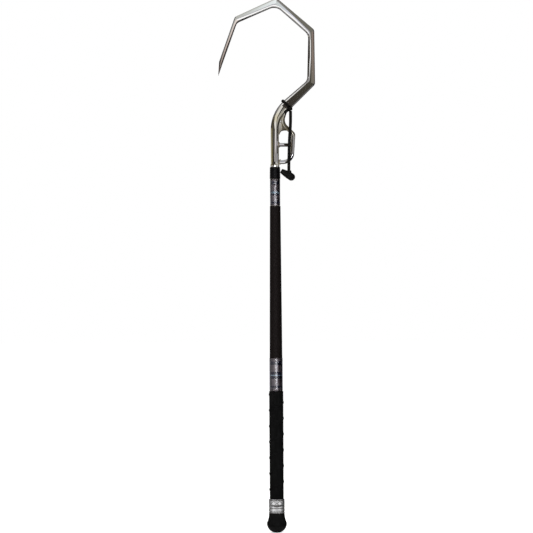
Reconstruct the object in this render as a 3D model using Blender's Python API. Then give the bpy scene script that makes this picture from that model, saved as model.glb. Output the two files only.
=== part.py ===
"""Fishing gaff: a bent stainless hook on a tapered pole with a ribbed grip.

Units are metres and +Z runs up the pole to the hook. The origin is the centre
of the small flat under the butt cap, on the pole's axis. The hook's point lies
towards -X and the side loop towards +X, all in the plane of the hook (y = 0).
Run it with: blender --background --python part.py
"""
import math

import bmesh
import bpy
from mathutils import Matrix, Vector

# Single sizes are in metres. Lists of points are in mm, and are turned into
# metres where they are used.
MM = 0.001
GAP = 0.3 * MM                 # room kept between two pieces that touch
POLE_SIDES = 24                # facets of every piece turned about the pole
HOOK_SIDES = 20
ROD_SIDES = 12
BEND_STEPS = 6

# Levels along the pole, upwards from the butt
RING_BOTTOM = 43.3 * MM
BLANK_BOTTOM = 46.6 * MM
GRIP_BOTTOM = 75.2 * MM
LOWER_WRAP_BOTTOM = 318.2 * MM
BLANK_SHOULDER = 393.1 * MM    # the lower wrap starts here
NECK_BOTTOM = 640.0 * MM
TANG_END = 660.0 * MM
BLANK_TOP = 734.4 * MM
COLLAR_BOTTOM = 795.4 * MM
NECK_TOP = 821.6 * MM
COLLAR_TOP = 821.8 * MM
TANG_TOP = 821.9 * MM
SHANK_RING_TOP = 828.4 * MM

# Radii of the pole's pieces
BLANK_TOP_R = 11.95 * MM
BLANK_SHOULDER_R = 14.25 * MM
BLANK_BUTT_R = 14.0 * MM
BLANK_BUTT_BORE = 12.6 * MM
NECK_R = 10.5 * MM
TANG_R = 8.6 * MM
SHANK_R = 9.2 * MM
SHANK_RING_R = 10.1 * MM
GRIP_TOP_R = 15.75 * MM
GRIP_BOTTOM_R = 15.5 * MM
COLLAR_TOP_R = 11.55 * MM
COLLAR_BOTTOM_R = 11.95 * MM

# Cross pins through the neck tube and the tang: height and direction of each
PIN_R = 2.0 * MM
PINS = {"tang_pin_upper": (813.0 * MM, (1, 0, 0)), "tang_pin_lower": (804.0 * MM, (0, 1, 0))}

# Butt ring: a bore for the pole, a web, and a hollow spigot that the cap is pressed on
RING_R = 17.6 * MM
RING_GROOVES = [(56.0 * MM, 1.5 * MM), (49.2 * MM, 1.0 * MM)]   # height and half width
GROOVE_DEPTH = 0.7 * MM
SPIGOT_R = 14.2 * MM
SPIGOT_BORE = 10.5 * MM
SPIGOT_BOTTOM = 18.0 * MM
WEB_BOTTOM = 40.0 * MM
WEB_BORE = 6.0 * MM
PLUG_TOP = 71.0 * MM

# Butt cap: part of an ellipse, cut flat at the bottom, under a waisted neck
BULB_R = 22.4 * MM
BULB_Z = 19.6 * MM
BULB_DROP = 20.4 * MM
BULB_STEPS = 7
CAP_NECK = [(22.1, 22.6), (20.4, 26.8), (19.1, 31.3), (18.2, 35.8), (17.7, 40.0)]
SOCKET_BOTTOM = 15.0 * MM

# Corners of the hook's two edges in the XZ plane, from the shank to the point,
# with the radius that rounds each one
HOOK_OUTER = [
    ((9.2, 926.4), 48.0),
    ((91.3, 1007.1), 9.0),
    ((90.1, 1130.6), 10.0),
    ((5.6, 1202.7), 13.0),
    ((-88.6, 1160.2), 8.0),
]
HOOK_INNER = [
    ((-9.2, 945.7), 88.0),
    ((73.5, 1016.4), 18.0),
    ((76.4, 1119.5), 20.0),
    ((3.9, 1184.1), 24.0),
    ((-83.8, 1146.3), 14.0),
]
GRIND_OUTER = (-124.4, 1059.8)   # where the point starts on the outer edge
GRIND_INNER = (-116.1, 1056.7)
HOOK_POINT = (-126.2, 1028.7)
POINT_R = 0.4 * MM
# Half of the hook's thickness across its plane, at the shank, the five corners
# and the point's shoulder
HOOK_DEPTHS = [9.2, 9.0, 8.6, 7.9, 7.2, 5.0, 4.6]

# Side loop of round bar welded to the shank, as corners of its centre line
ROD_R = 4.5 * MM
LOOP_START = (23.5, 947.0)
LOOP_CORNERS = [((15.2, 921.6), 22.0), ((41.8, 895.8), 8.0), ((37.9, 833.2), 21.0)]
LOOP_END = (3.0, 833.2)
CROSSBAR_R = 4.4 * MM
CROSSBAR_Z = 871.9 * MM
CROSSBAR_ENDS = (4.0 * MM, 41.0 * MM)
GUSSET_THICKNESS = 7.0 * MM
# Web between the shank and the loop: the arched top of the window, then its
# far corners, which the shank and the rod cut back
GUSSET_OUTLINE = [(6.0, 895.0), (10.6, 895.0), (12.2, 899.4), (15.6, 902.8), (20.5, 903.9), (33.0, 903.9),
                  (17.0, 925.0), (6.0, 925.0)]

# Tether: the lashing round the hook, its knot, the cord and the point guard
LASH_CENTRE = Vector((27.3, 0.0, 961.4)) * MM
LASH_ALONG = Vector((0.737, 0.0, 0.676))       # along the bar, upwards
LASH_ACROSS = Vector((0.676, 0.0, -0.737))     # towards the lower right
LASH_BAR = (12.1 * MM, 9.1 * MM)               # half width and half depth of the bar
# Stations of the lashing: angle round the bar from its upper left edge, in
# degrees towards the front, place along the bar, half width and half thickness
# in mm. It leaves the knot, goes over the edge and behind the bar, pulled flat,
# and ends in a short tail below the knot.
LASH_STATIONS = [
    (112, 0.3, 3.2, 1.8), (90, 0.2, 3.3, 1.8), (45, 0.0, 3.3, 1.8), (0, -0.4, 3.3, 1.8),
    (-45, -0.3, 3.3, 1.8), (-90, 0.0, 3.3, 1.8), (-135, 0.6, 3.3, 1.8), (-180, 0.8, 3.2, 1.8),
    (-200, -1.4, 3.2, 1.8), (-214, -4.4, 3.2, 1.8), (-224, -7.6, 3.2, 2.2), (-227, -10.8, 3.2, 2.5),
    (-225, -13.2, 3.2, 2.6), (-221, -15.4, 3.1, 2.6),
]
LASH_SIDES = 10
KNOT_CENTRE = Vector((35.2, -12.8, 952.8)) * MM
KNOT_R = 5.0 * MM
CORD_R = 3.5 * MM
CORD_ROUTE = [
    (35.5, -12.8, 947.4),
    (35.5, -12.7, 930.0),
    (34.8, -12.4, 910.0),
    (33.2, -12.2, 889.0),
    (32.1, -12.1, 866.0),
    (31.4, -12.0, 841.0),
    (31.0, -12.0, 812.4),
]
GUARD_PIVOT = Vector((31.0, -12.0, 812.2)) * MM
GUARD_NARROW = Vector((17.1, -12.0, 811.3)) * MM
GUARD_FAT = Vector((36.5, -12.0, 799.3)) * MM
# Half outline of the guard: radius and distance from its narrow centre
GUARD_OUTLINE = [(4.0, -4.1), (5.0, -3.2), (5.6, -1.0), (6.5, 3.0), (7.4, 8.5), (8.2, 15.0)]
GUARD_BORE = [(0.0, 17.0), (1.4, 14.0), (3.3, 4.0), (3.3, -4.1)]
GUARD_FAT_R = 8.5 * MM
GUARD_SIDES = 16
# Raised rim round the cord's end: radius and height above the pivot
GUARD_RIM = [(0.0, -5.0), (6.4, -4.0), (4.9, 1.8), (0.0, 1.8)]
SOCKET_R = 3.8 * MM            # round seat of the cord's end in the guard
SOCKET_TOP = 6.0 * MM
SOCKET_FLARE = 16              # degrees that the guard can tip on the cord's end

# Raised cord wound round the grip
RIB_PITCH = 35.6 * MM
RIB_TURNS = 6.6
RIB_WIDTH = 6.0 * MM
RIB_HEIGHT = 0.95 * MM
RIB_START_Z = 79.0 * MM
RIB_STEPS = 24                 # points for each turn
# Half-round section of the rib: place across it and rise, as shares of its size
RIB_SECTION = [(-0.5, 0.0), (-0.3, 0.75), (0.0, 1.0), (0.3, 0.75), (0.5, 0.0)]

# Thread wraps, from the top end down: kind of band and its length
THREAD_WRAPS = {
    "upper": {
        "top": COLLAR_BOTTOM - GAP,
        "radius": NECK_R,
        "bands": [("end", 5.4), ("navy", 7.4), ("silver", 13.0), ("navy", 2.7), ("blue", 4.5),
                  ("navy", 4.1), ("silver", 13.5), ("navy", 4.9), ("end", 4.6)],
    },
    "lower": {
        "top": BLANK_SHOULDER - GAP,
        "radius": BLANK_BUTT_R,
        "bands": [("end", 7.8), ("navy", 7.4), ("silver", 15.8), ("navy", 6.7), ("blue", 2.5),
                  ("navy", 6.8), ("silver", 15.0), ("navy", 5.4), ("end", 6.8)],
    },
}
UNDERWRAP_FROM = 0.15 * MM     # above the tube that it is wound on
UNDERWRAP_TO = 0.35 * MM
BAND_FROM = 0.5 * MM
BAND_TO = 0.75 * MM


def clear_scene():
    for old in list(bpy.data.objects):
        bpy.data.objects.remove(old, do_unlink=True)


def material(name, colour, roughness, metallic=0.0):
    finish = bpy.data.materials.new(name)
    finish.use_nodes = True
    shader = finish.node_tree.nodes["Principled BSDF"]
    shader.inputs["Base Color"].default_value = (*colour, 1.0)
    shader.inputs["Roughness"].default_value = roughness
    shader.inputs["Metallic"].default_value = metallic
    finish.diffuse_color = (*colour, 1.0)
    return finish


def link(name, data, finish, place=Vector()):
    """Put mesh or curve data in the scene as one named piece."""
    piece = bpy.data.objects.new(name, data)
    piece.location = place
    bpy.context.collection.objects.link(piece)
    if finish is not None:
        data.materials.append(finish)
    return piece


def to_mesh(shape, name, sharp=math.radians(38)):
    """Close a bmesh into mesh data with outward faces and smooth round sides."""
    bmesh.ops.remove_doubles(shape, verts=shape.verts, dist=1e-7)
    bmesh.ops.recalc_face_normals(shape, faces=shape.faces)
    mesh = bpy.data.meshes.new(name)
    shape.to_mesh(mesh)
    shape.free()
    mesh.shade_smooth()
    mesh.set_sharp_from_angle(angle=sharp)
    return mesh


def turned_mesh(name, outline, sides=POLE_SIDES):
    """Turn an outline of (radius, height) points about Z, closed unless it starts on the axis."""
    shape = bmesh.new()
    spots = [shape.verts.new((r, 0.0, z)) for r, z in outline]
    edges = [shape.edges.new(pair) for pair in zip(spots, spots[1:])]
    if outline[0][0] > 0.0:
        edges.append(shape.edges.new((spots[-1], spots[0])))
    bmesh.ops.spin(shape, geom=edges, cent=(0, 0, 0), axis=(0, 0, 1), angle=2 * math.pi, steps=sides,
                   use_merge=True)
    return to_mesh(shape, name)


def turned(name, outline, finish, sides=POLE_SIDES, place=Vector()):
    return link(name, turned_mesh(name, outline, sides), finish, place)


def lofted_mesh(name, rings):
    """Skin a run of rings that have one number of points, and cap both ends."""
    shape = bmesh.new()
    loops = [[shape.verts.new(p) for p in ring] for ring in rings]
    count = len(rings[0])
    for low, high in zip(loops, loops[1:]):
        for k in range(count):
            after = (k + 1) % count
            shape.faces.new((low[k], low[after], high[after], high[k]))
    shape.faces.new(loops[0])
    shape.faces.new(loops[-1])
    return to_mesh(shape, name)


def round_corner(before, corner, after, radius, steps):
    """Points of the arc that rounds one corner of a flat run."""
    to_before = (before - corner).normalized()
    to_after = (after - corner).normalized()
    half = to_before.angle(to_after) / 2
    reach = radius / math.tan(half)
    centre = corner + (to_before + to_after).normalized() * (radius / math.sin(half))
    start = corner + to_before * reach - centre
    swing = math.pi - 2 * half
    side = 1.0 if start.cross(corner + to_after * reach - centre) > 0 else -1.0
    points = []
    for k in range(steps + 1):
        turn = side * swing * k / steps
        c, s = math.cos(turn), math.sin(turn)
        points.append(centre + Vector((c * start.x - s * start.y, s * start.x + c * start.y)))
    return points


def rounded_run(corners, first, last, steps=BEND_STEPS):
    """A flat run from first to last with each (corner, radius) between rounded."""
    spots = [Vector(first)] + [Vector(c) for c, radius in corners] + [Vector(last)]
    run = [spots[0]]
    for k, (corner, radius) in enumerate(corners):
        run += round_corner(spots[k], spots[k + 1], spots[k + 2], radius, steps)
    run.append(spots[-1])
    return run


def smooth_run(points, per_span):
    """Points of a smooth curve through the given ones (Catmull-Rom)."""
    ends = [2 * points[0] - points[1]] + points + [2 * points[-1] - points[-2]]
    run = []
    for a, b, c, d in zip(ends, ends[1:], ends[2:], ends[3:]):
        for k in range(per_span):
            t = k / per_span
            run.append(0.5 * (2 * b + (c - a) * t + (2 * a - 5 * b + 4 * c - d) * t * t
                              + (3 * b - a - 3 * c + d) * t ** 3))
    run.append(points[-1])
    return run


def tube(name, points, radius, finish, resolution, place=Vector()):
    """A round cord along the points, with closed ends."""
    curve = bpy.data.curves.new(name, "CURVE")
    curve.dimensions = "3D"
    curve.bevel_depth = radius
    curve.bevel_resolution = resolution
    curve.use_fill_caps = True
    spline = curve.splines.new("POLY")
    spline.points.add(len(points) - 1)
    for spot, point in zip(spline.points, points):
        spot.co = (*(point - place), 1.0)
    return link(name, curve, finish, place)


def least_gap(points, radius, apart):
    """Least room between stretches of a tube that are more than `apart` points away."""
    room = min((points[j] - points[i]).length
               for i in range(len(points)) for j in range(i + apart, len(points)))
    return room - 2 * radius


def cutter(name, mesh, place=Vector()):
    tool = link(name, mesh, None, place)
    tool.hide_render = True
    tool.display_type = "WIRE"
    return tool


def cut(piece, tool, operation="DIFFERENCE"):
    slot = piece.modifiers.new("cut_" + tool.name, "BOOLEAN")
    slot.operation = operation
    slot.solver = "EXACT"
    slot.object = tool


def bar_mesh(name, radius, length, axis):
    """A straight round bar centred on the origin."""
    shape = bmesh.new()
    bmesh.ops.create_cone(shape, cap_ends=True, segments=ROD_SIDES, radius1=radius, radius2=radius,
                          depth=length)
    turn = Vector((0, 0, 1)).rotation_difference(Vector(axis)).to_matrix()
    bmesh.ops.rotate(shape, cent=(0, 0, 0), matrix=turn, verts=shape.verts)
    return to_mesh(shape, name)


def hook_rings(extra=0.0):
    """Rings of the hook from the tang's end to the point, `extra` wider all round."""
    outer = rounded_run(HOOK_OUTER, (SHANK_R / MM, COLLAR_TOP / MM), GRIND_OUTER)
    inner = rounded_run(HOOK_INNER, (-SHANK_R / MM, COLLAR_TOP / MM), GRIND_INNER)
    depths = [HOOK_DEPTHS[0]]
    for here, after in zip(HOOK_DEPTHS[1:], HOOK_DEPTHS[2:]):
        depths += [here + (after - here) * 0.25 * k / BEND_STEPS for k in range(BEND_STEPS + 1)]
    depths.append(HOOK_DEPTHS[-1])
    outline = [(Vector(a) * MM, Vector(b) * MM, d * MM) for a, b, d in zip(outer, inner, depths)]

    tang = [(TANG_END, TANG_R - 1.5 * MM), (TANG_END + 1.5 * MM, TANG_R), (TANG_TOP, TANG_R),
            (TANG_TOP, SHANK_R)]
    stations = [(Vector((r, z)), Vector((-r, z)), r) for z, r in tang]
    stations += outline[1:]
    grind_outer, grind_inner, grind_depth = stations[-1]
    point = Vector(HOOK_POINT) * MM
    lean = (grind_outer - grind_inner).normalized() * POINT_R
    for share in (0.5, 0.8, 1.0):
        stations.append((grind_outer.lerp(point + lean, share), grind_inner.lerp(point - lean, share),
                         grind_depth + (POINT_R - grind_depth) * share))

    rings = []
    for outside, inside, depth in stations:
        middle = (outside + inside) / 2
        reach = (outside - inside) / 2
        reach += reach.normalized() * extra
        ring = []
        for k in range(HOOK_SIDES):
            turn = 2 * math.pi * k / HOOK_SIDES
            flat = middle + reach * math.cos(turn)
            ring.append((flat.x, (depth + extra) * math.sin(turn), flat.y))
        rings.append(ring)
    return rings


def rod_rings(extra=0.0):
    """Rings of the side loop's bent rod, `extra` wider all round."""
    run = rounded_run(LOOP_CORNERS, LOOP_START, LOOP_END)
    path = [Vector((p.x, 0.0, p.y)) * MM for p in run]
    radius = ROD_R + extra
    rings = []
    for k, spot in enumerate(path):
        before = path[max(k - 1, 0)]
        after = path[min(k + 1, len(path) - 1)]
        along = (after - before).normalized()
        across = Vector((along.z, 0.0, -along.x))
        ring = []
        for j in range(ROD_SIDES):
            turn = 2 * math.pi * j / ROD_SIDES
            ring.append(spot + (across * math.cos(turn) + Vector((0, 1, 0)) * math.sin(turn)) * radius)
        rings.append(ring)
    return rings


def make_hook(finish, pin_holes):
    hook = link("hook", lofted_mesh("hook", hook_rings()), finish)
    for hole in pin_holes:
        cut(hook, hole)


def make_side_loop(finish):
    """Bent rod, the bar across it and the web in its upper corner."""
    hook_room = cutter("hook_room", lofted_mesh("hook_room", hook_rings(GAP)))
    rod_room = cutter("rod_room", lofted_mesh("rod_room", rod_rings(GAP)))
    loop = link("side_loop", lofted_mesh("side_loop", rod_rings()), finish)
    cut(loop, hook_room)

    low, high = CROSSBAR_ENDS
    bar = bar_mesh("loop_crossbar", CROSSBAR_R, high - low, (1, 0, 0))
    crossbar = link("loop_crossbar", bar, finish, Vector(((low + high) / 2, 0.0, CROSSBAR_Z)))
    half = GUSSET_THICKNESS / 2
    faces = [[(x * MM, y, z * MM) for x, z in GUSSET_OUTLINE] for y in (-half, half)]
    gusset = link("loop_gusset", lofted_mesh("loop_gusset", faces), finish)
    for piece in (crossbar, gusset):
        cut(piece, hook_room)
        cut(piece, rod_room)


def make_pins(finish):
    """Cross pins of the tang, and the cutters for their holes."""
    holes = []
    for name, (height, axis) in PINS.items():
        place = Vector((0, 0, height))
        link(name, bar_mesh(name, PIN_R, 2 * NECK_R - 0.4 * MM, axis), finish, place)
        hole = bar_mesh(name + "_hole", PIN_R + GAP, 2 * NECK_R + 4 * MM, axis)
        holes.append(cutter(name + "_hole", hole, place))
    return holes


def make_neck(steel, glass_fibre, shrink, pin_holes):
    """Neck tube over the tang, the stop ring above it and the collar round them."""
    bore = TANG_R + GAP
    neck = turned("neck_tube", [(bore, NECK_BOTTOM), (NECK_R, NECK_BOTTOM), (NECK_R, NECK_TOP),
                                (bore, NECK_TOP)], glass_fibre)
    for hole in pin_holes:
        cut(neck, hole)

    bore = SHANK_R + GAP
    low, edge = COLLAR_TOP + GAP, 0.4 * MM
    turned("shank_ring", [(bore, low), (SHANK_RING_R, low), (SHANK_RING_R, SHANK_RING_TOP - edge),
                          (SHANK_RING_R - edge, SHANK_RING_TOP), (bore, SHANK_RING_TOP)], steel)

    bore = NECK_R + GAP
    turned("collar", [(bore, COLLAR_BOTTOM), (COLLAR_BOTTOM_R - 0.3 * MM, COLLAR_BOTTOM),
                      (COLLAR_BOTTOM_R, COLLAR_BOTTOM + 1.5 * MM), (COLLAR_TOP_R, COLLAR_TOP - 1.2 * MM),
                      (COLLAR_TOP_R - 0.5 * MM, COLLAR_TOP), (bore, COLLAR_TOP)], shrink)


def make_blank(finish):
    """Tapered hollow tube of the pole, with a seat for the lower wrap and the grip."""
    mouth, edge = NECK_R + GAP, 0.4 * MM
    turned("blank", [(mouth, BLANK_TOP), (mouth, NECK_BOTTOM - 2 * MM), (BLANK_BUTT_BORE, BLANK_SHOULDER),
                     (BLANK_BUTT_BORE, BLANK_BOTTOM), (BLANK_BUTT_R, BLANK_BOTTOM),
                     (BLANK_BUTT_R, BLANK_SHOULDER), (BLANK_SHOULDER_R, BLANK_SHOULDER + edge),
                     (BLANK_TOP_R, BLANK_TOP - edge), (BLANK_TOP_R - edge, BLANK_TOP)], finish)


def make_thread_wrap(name, wrap, finishes):
    """Underwrap along the whole wrap, and the coloured bands wound over it."""
    total = sum(length for kind, length in wrap["bands"]) * MM
    top, base = wrap["top"], wrap["radius"]
    low, inner, outer = top - total, base + UNDERWRAP_FROM, base + UNDERWRAP_TO
    turned(name + "_underwrap", [(inner, low), (outer, low), (outer, top), (inner, top)], finishes["silver"])
    counts = {}
    edge = GAP / 2
    for kind, length in wrap["bands"]:
        bottom = top - length * MM
        if kind != "end":
            counts[kind] = counts.get(kind, 0) + 1
            low, high = bottom + edge, top - edge
            turned("%s_%s_band_%d" % (name, kind, counts[kind]),
                   [(base + BAND_FROM, low), (base + BAND_TO, low), (base + BAND_TO, high),
                    (base + BAND_FROM, high)], finishes[kind])
        top = bottom


def grip_radius(z):
    share = (z - GRIP_BOTTOM) / (LOWER_WRAP_BOTTOM - GRIP_BOTTOM)
    return GRIP_BOTTOM_R + (GRIP_TOP_R - GRIP_BOTTOM_R) * share


def make_grip(finish):
    """Sleeve over the blank, and the raised cord wound round it."""
    bore = BLANK_BUTT_R + GAP
    low, high, lip = GRIP_BOTTOM + GAP, LOWER_WRAP_BOTTOM - GAP, 0.5 * MM
    turned("grip_sleeve", [(bore, low), (GRIP_BOTTOM_R - lip, low), (GRIP_BOTTOM_R, low + lip),
                           (GRIP_TOP_R, high - 4 * MM), (GRIP_TOP_R + 0.25 * MM, high - 1.5 * MM),
                           (GRIP_TOP_R - 0.3 * MM, high), (bore, high)], finish)
    rings = []
    middle = []
    last = round(RIB_TURNS * RIB_STEPS)
    for k in range(last + 1):
        turn = 2 * math.pi * k / RIB_STEPS
        z = RIB_START_Z + RIB_PITCH * k / RIB_STEPS
        fade = min(1.0, 0.25 + 0.25 * min(k, last - k))
        out = Vector((math.cos(turn), math.sin(turn), 0))
        ring = []
        for along, rise in RIB_SECTION:
            height = z + along * RIB_WIDTH
            ring.append(out * (grip_radius(height) + GAP + rise * RIB_HEIGHT * fade) + Vector((0, 0, height)))
        rings.append(ring)
        middle.append(out * (grip_radius(z) + GAP) + Vector((0, 0, z)))
    link("grip_rib", lofted_mesh("grip_rib", rings), finish)
    gap = least_gap(middle, RIB_WIDTH / 2, RIB_STEPS // 2)
    print("grip rib: least gap to itself %.2f mm" % (gap / MM))


def make_butt(aluminium, cork, rubber):
    """Metal ring glued to the pole, the plug in the pole's end, and the rubber cap."""
    bore, chamfer = BLANK_BUTT_R + GAP, 0.5 * MM
    outline = [(bore, GRIP_BOTTOM), (RING_R - chamfer, GRIP_BOTTOM), (RING_R, GRIP_BOTTOM - chamfer)]
    for middle, half in RING_GROOVES:
        outline += [(RING_R, middle + half), (RING_R - GROOVE_DEPTH, middle + half * 0.4),
                    (RING_R - GROOVE_DEPTH, middle - half * 0.4), (RING_R, middle - half)]
    outline += [(RING_R, RING_BOTTOM + chamfer), (RING_R - chamfer, RING_BOTTOM), (SPIGOT_R, RING_BOTTOM),
                (SPIGOT_R, SPIGOT_BOTTOM + 2 * chamfer), (SPIGOT_R - 2 * chamfer, SPIGOT_BOTTOM),
                (SPIGOT_BORE, SPIGOT_BOTTOM), (SPIGOT_BORE, WEB_BOTTOM), (WEB_BORE, WEB_BOTTOM),
                (WEB_BORE, BLANK_BOTTOM - GAP), (bore, BLANK_BOTTOM - GAP)]
    turned("butt_ring", outline, aluminium)

    plug_r = BLANK_BUTT_BORE - GAP
    turned("butt_plug", [(0.0, BLANK_BOTTOM), (plug_r, BLANK_BOTTOM), (plug_r, PLUG_TOP - 2 * chamfer),
                         (plug_r - 2 * chamfer, PLUG_TOP), (0.0, PLUG_TOP)], cork)

    profile = [(0.0, 0.0)]
    lowest = math.asin(BULB_Z / BULB_DROP)
    for k in range(BULB_STEPS + 1):
        rise = lowest * (1 - k / BULB_STEPS)
        profile.append((BULB_R * math.cos(rise), BULB_Z - BULB_DROP * math.sin(rise)))
    profile += [(r * MM, z * MM) for r, z in CAP_NECK]
    profile += [(RING_R, RING_BOTTOM - GAP), (SPIGOT_R + GAP, RING_BOTTOM - GAP),
                (SPIGOT_R + GAP, SOCKET_BOTTOM), (0.0, SOCKET_BOTTOM)]
    turned("butt_cap", profile, rubber)


def lash_rings():
    """Path of the lashing round the bar, and its flat oval rings."""
    stations = smooth_run([Vector(station) for station in LASH_STATIONS], 4)
    points = []
    outs = []
    for turn, along, wide, thick in stations:
        level = -LASH_ACROSS * math.cos(math.radians(turn))
        forth = Vector((0, -math.sin(math.radians(turn)), 0))
        room = thick * MM + GAP
        points.append(LASH_CENTRE + LASH_ALONG * along * MM + level * (LASH_BAR[0] + room)
                      + forth * (LASH_BAR[1] + room))
        outs.append(level * LASH_BAR[1] + forth * LASH_BAR[0])
    rings = []
    for k, (turn, along, wide, thick) in enumerate(stations):
        forward = (points[min(k + 1, len(points) - 1)] - points[max(k - 1, 0)]).normalized()
        side = forward.cross(outs[k]).normalized()
        up = side.cross(forward)
        turns = [2 * math.pi * j / LASH_SIDES for j in range(LASH_SIDES)]
        rings.append([points[k] + (side * wide * math.cos(t) + up * thick * math.sin(t)) * MM for t in turns])
    return points, rings


def arc_outline(radius, first, last, steps, middle=0.0):
    """Points of an arc of (radius, height) about a centre on the axis, in degrees above it."""
    turns = [math.radians(first + (last - first) * k / steps) for k in range(steps + 1)]
    return [(max(radius * math.cos(turn), 0.0), middle + radius * math.sin(turn)) for turn in turns]


def make_tether(cord):
    """Lashing on the hook, the knot under it and the hanging cord."""
    points, rings = lash_rings()
    link("lashing", lofted_mesh("lashing", rings), cord)
    print("lashing: least gap to itself %.2f mm" % (least_gap(points, LASH_STATIONS[0][2] * MM, 12) / MM))
    knot = [(0.0, -KNOT_R)] + arc_outline(KNOT_R, -67.5, 67.5, 6) + [(0.0, KNOT_R)]
    turned("tether_knot", knot, cord, sides=16, place=KNOT_CENTRE)
    route = smooth_run([Vector(p) * MM for p in CORD_ROUTE], 2)
    tube("tether_cord", route, CORD_R, cord, 3, place=KNOT_CENTRE)
    length = sum((b - a).length for a, b in zip(route, route[1:]))
    print("tether cord: %.1f mm long" % (length / MM))


def make_guard(rubber):
    """Boot for the hook's point, with a blind bore and a seat for the cord's end."""
    along = GUARD_FAT - GUARD_NARROW
    outline = [(r * MM, z * MM) for r, z in GUARD_BORE + GUARD_OUTLINE]
    outline += arc_outline(GUARD_FAT_R, 0, 72, 4, along.length)
    outline.append((0.0, along.length + GUARD_FAT_R))
    mesh = turned_mesh("point_guard", outline, GUARD_SIDES)
    mesh.transform(Vector((0, 0, 1)).rotation_difference(along).to_matrix().to_4x4())
    mesh.transform(Matrix.Translation(GUARD_NARROW - GUARD_PIVOT))
    guard = link("point_guard", mesh, rubber, GUARD_PIVOT)
    rim = turned_mesh("cord_rim", [(r * MM, z * MM) for r, z in GUARD_RIM], GUARD_SIDES)
    cut(guard, cutter("cord_rim", rim, GUARD_PIVOT), "UNION")

    spread = SOCKET_R + SOCKET_TOP * math.tan(math.radians(SOCKET_FLARE))
    seat = [(0.0, -SOCKET_R)] + arc_outline(SOCKET_R, -67.5, 0, 3) + [(spread, SOCKET_TOP), (0.0, SOCKET_TOP)]
    cut(guard, cutter("cord_socket", turned_mesh("cord_socket", seat, GUARD_SIDES), GUARD_PIVOT))


def build():
    clear_scene()
    steel = material("polished_stainless", (0.62, 0.61, 0.58), 0.12, 1.0)
    aluminium = material("turned_aluminium", (0.74, 0.74, 0.75), 0.28, 1.0)
    fibre = material("black_blank", (0.012, 0.011, 0.011), 0.45)
    bare_fibre = material("bare_glass_fibre", (0.20, 0.19, 0.16), 0.5)
    shrink = material("black_shrink_tube", (0.009, 0.009, 0.010), 0.25)
    grip = material("black_grip_rubber", (0.008, 0.008, 0.008), 0.8)
    rubber = material("black_rubber", (0.010, 0.010, 0.010), 0.6)
    cord = material("black_elastic_cord", (0.009, 0.009, 0.009), 0.75)
    cork = material("cork", (0.42, 0.27, 0.15), 0.9)
    threads = {
        "silver": material("silver_thread", (0.40, 0.36, 0.38), 0.25, 0.6),
        "navy": material("navy_thread", (0.012, 0.012, 0.030), 0.2),
        "blue": material("ice_blue_thread", (0.36, 0.47, 0.55), 0.2),
    }
    pin_holes = make_pins(steel)
    make_hook(steel, pin_holes)
    make_side_loop(steel)
    make_neck(steel, bare_fibre, shrink, pin_holes)
    make_blank(fibre)
    for name, wrap in THREAD_WRAPS.items():
        make_thread_wrap(name, wrap, threads)
    make_grip(grip)
    make_butt(aluminium, cork, rubber)
    make_tether(cord)
    make_guard(rubber)


build()
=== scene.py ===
import math

import bmesh
import bpy
from mathutils import Matrix, Vector


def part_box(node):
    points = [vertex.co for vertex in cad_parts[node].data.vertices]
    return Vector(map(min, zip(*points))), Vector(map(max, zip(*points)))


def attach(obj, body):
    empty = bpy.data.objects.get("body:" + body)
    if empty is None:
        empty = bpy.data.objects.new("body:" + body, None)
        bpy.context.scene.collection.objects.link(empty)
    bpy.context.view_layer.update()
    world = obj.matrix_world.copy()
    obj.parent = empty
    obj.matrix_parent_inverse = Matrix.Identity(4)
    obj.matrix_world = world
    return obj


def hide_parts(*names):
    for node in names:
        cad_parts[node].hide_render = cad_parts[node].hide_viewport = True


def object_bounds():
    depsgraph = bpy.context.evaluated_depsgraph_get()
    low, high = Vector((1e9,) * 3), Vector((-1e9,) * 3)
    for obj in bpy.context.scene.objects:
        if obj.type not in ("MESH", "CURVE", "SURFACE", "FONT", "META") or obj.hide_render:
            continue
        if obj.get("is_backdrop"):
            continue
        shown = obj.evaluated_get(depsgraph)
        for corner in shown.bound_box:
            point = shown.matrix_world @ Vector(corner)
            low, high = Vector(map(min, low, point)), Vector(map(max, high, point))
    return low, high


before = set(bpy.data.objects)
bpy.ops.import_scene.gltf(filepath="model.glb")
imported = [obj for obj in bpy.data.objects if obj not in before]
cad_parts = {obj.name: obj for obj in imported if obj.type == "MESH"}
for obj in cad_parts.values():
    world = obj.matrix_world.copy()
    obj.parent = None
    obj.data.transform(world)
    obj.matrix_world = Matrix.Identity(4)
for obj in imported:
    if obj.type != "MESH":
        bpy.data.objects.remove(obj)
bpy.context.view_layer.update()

# Camera
# A long lens six metres in front of the gaff, level with its middle. It is turned a
# third of a degree, so that the pole leans by 5.5 mm in each metre of its height.
LENS = 180.0
SENSOR = 36.0
VIEW_WIDTH = 1.19925
VIEW_MIDDLE = Vector((-0.0203, 0.0, 0.5984))
LEAN = 0.0055

lens = bpy.data.cameras.new("front_view")
lens.lens = LENS
lens.sensor_width = SENSOR
lens.clip_end = 60.0
camera = bpy.data.objects.new("front_view", lens)
camera.location = VIEW_MIDDLE - Vector((0.0, VIEW_WIDTH * LENS / SENSOR, 0.0))
camera.rotation_euler = (math.pi / 2, LEAN, 0.0)
bpy.context.scene.collection.objects.link(camera)
bpy.context.scene.camera = camera
bpy.context.scene.view_settings.view_transform = "Standard"

# White studio
# The world is plain white to the eye, a softer white as light, and dim in mirrors, where
# the cards below give the reflections. The pale floor keeps the shadow of the butt.
SOFT_LIGHT = 0.5
DIM_MIRROR = 0.22
FLOOR_SIZE = 30.0
FLOOR_DROP = 0.0003
FLOOR_COLOUR = (0.86, 0.86, 0.86)
FLOOR_GLOW = 0.62


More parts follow.
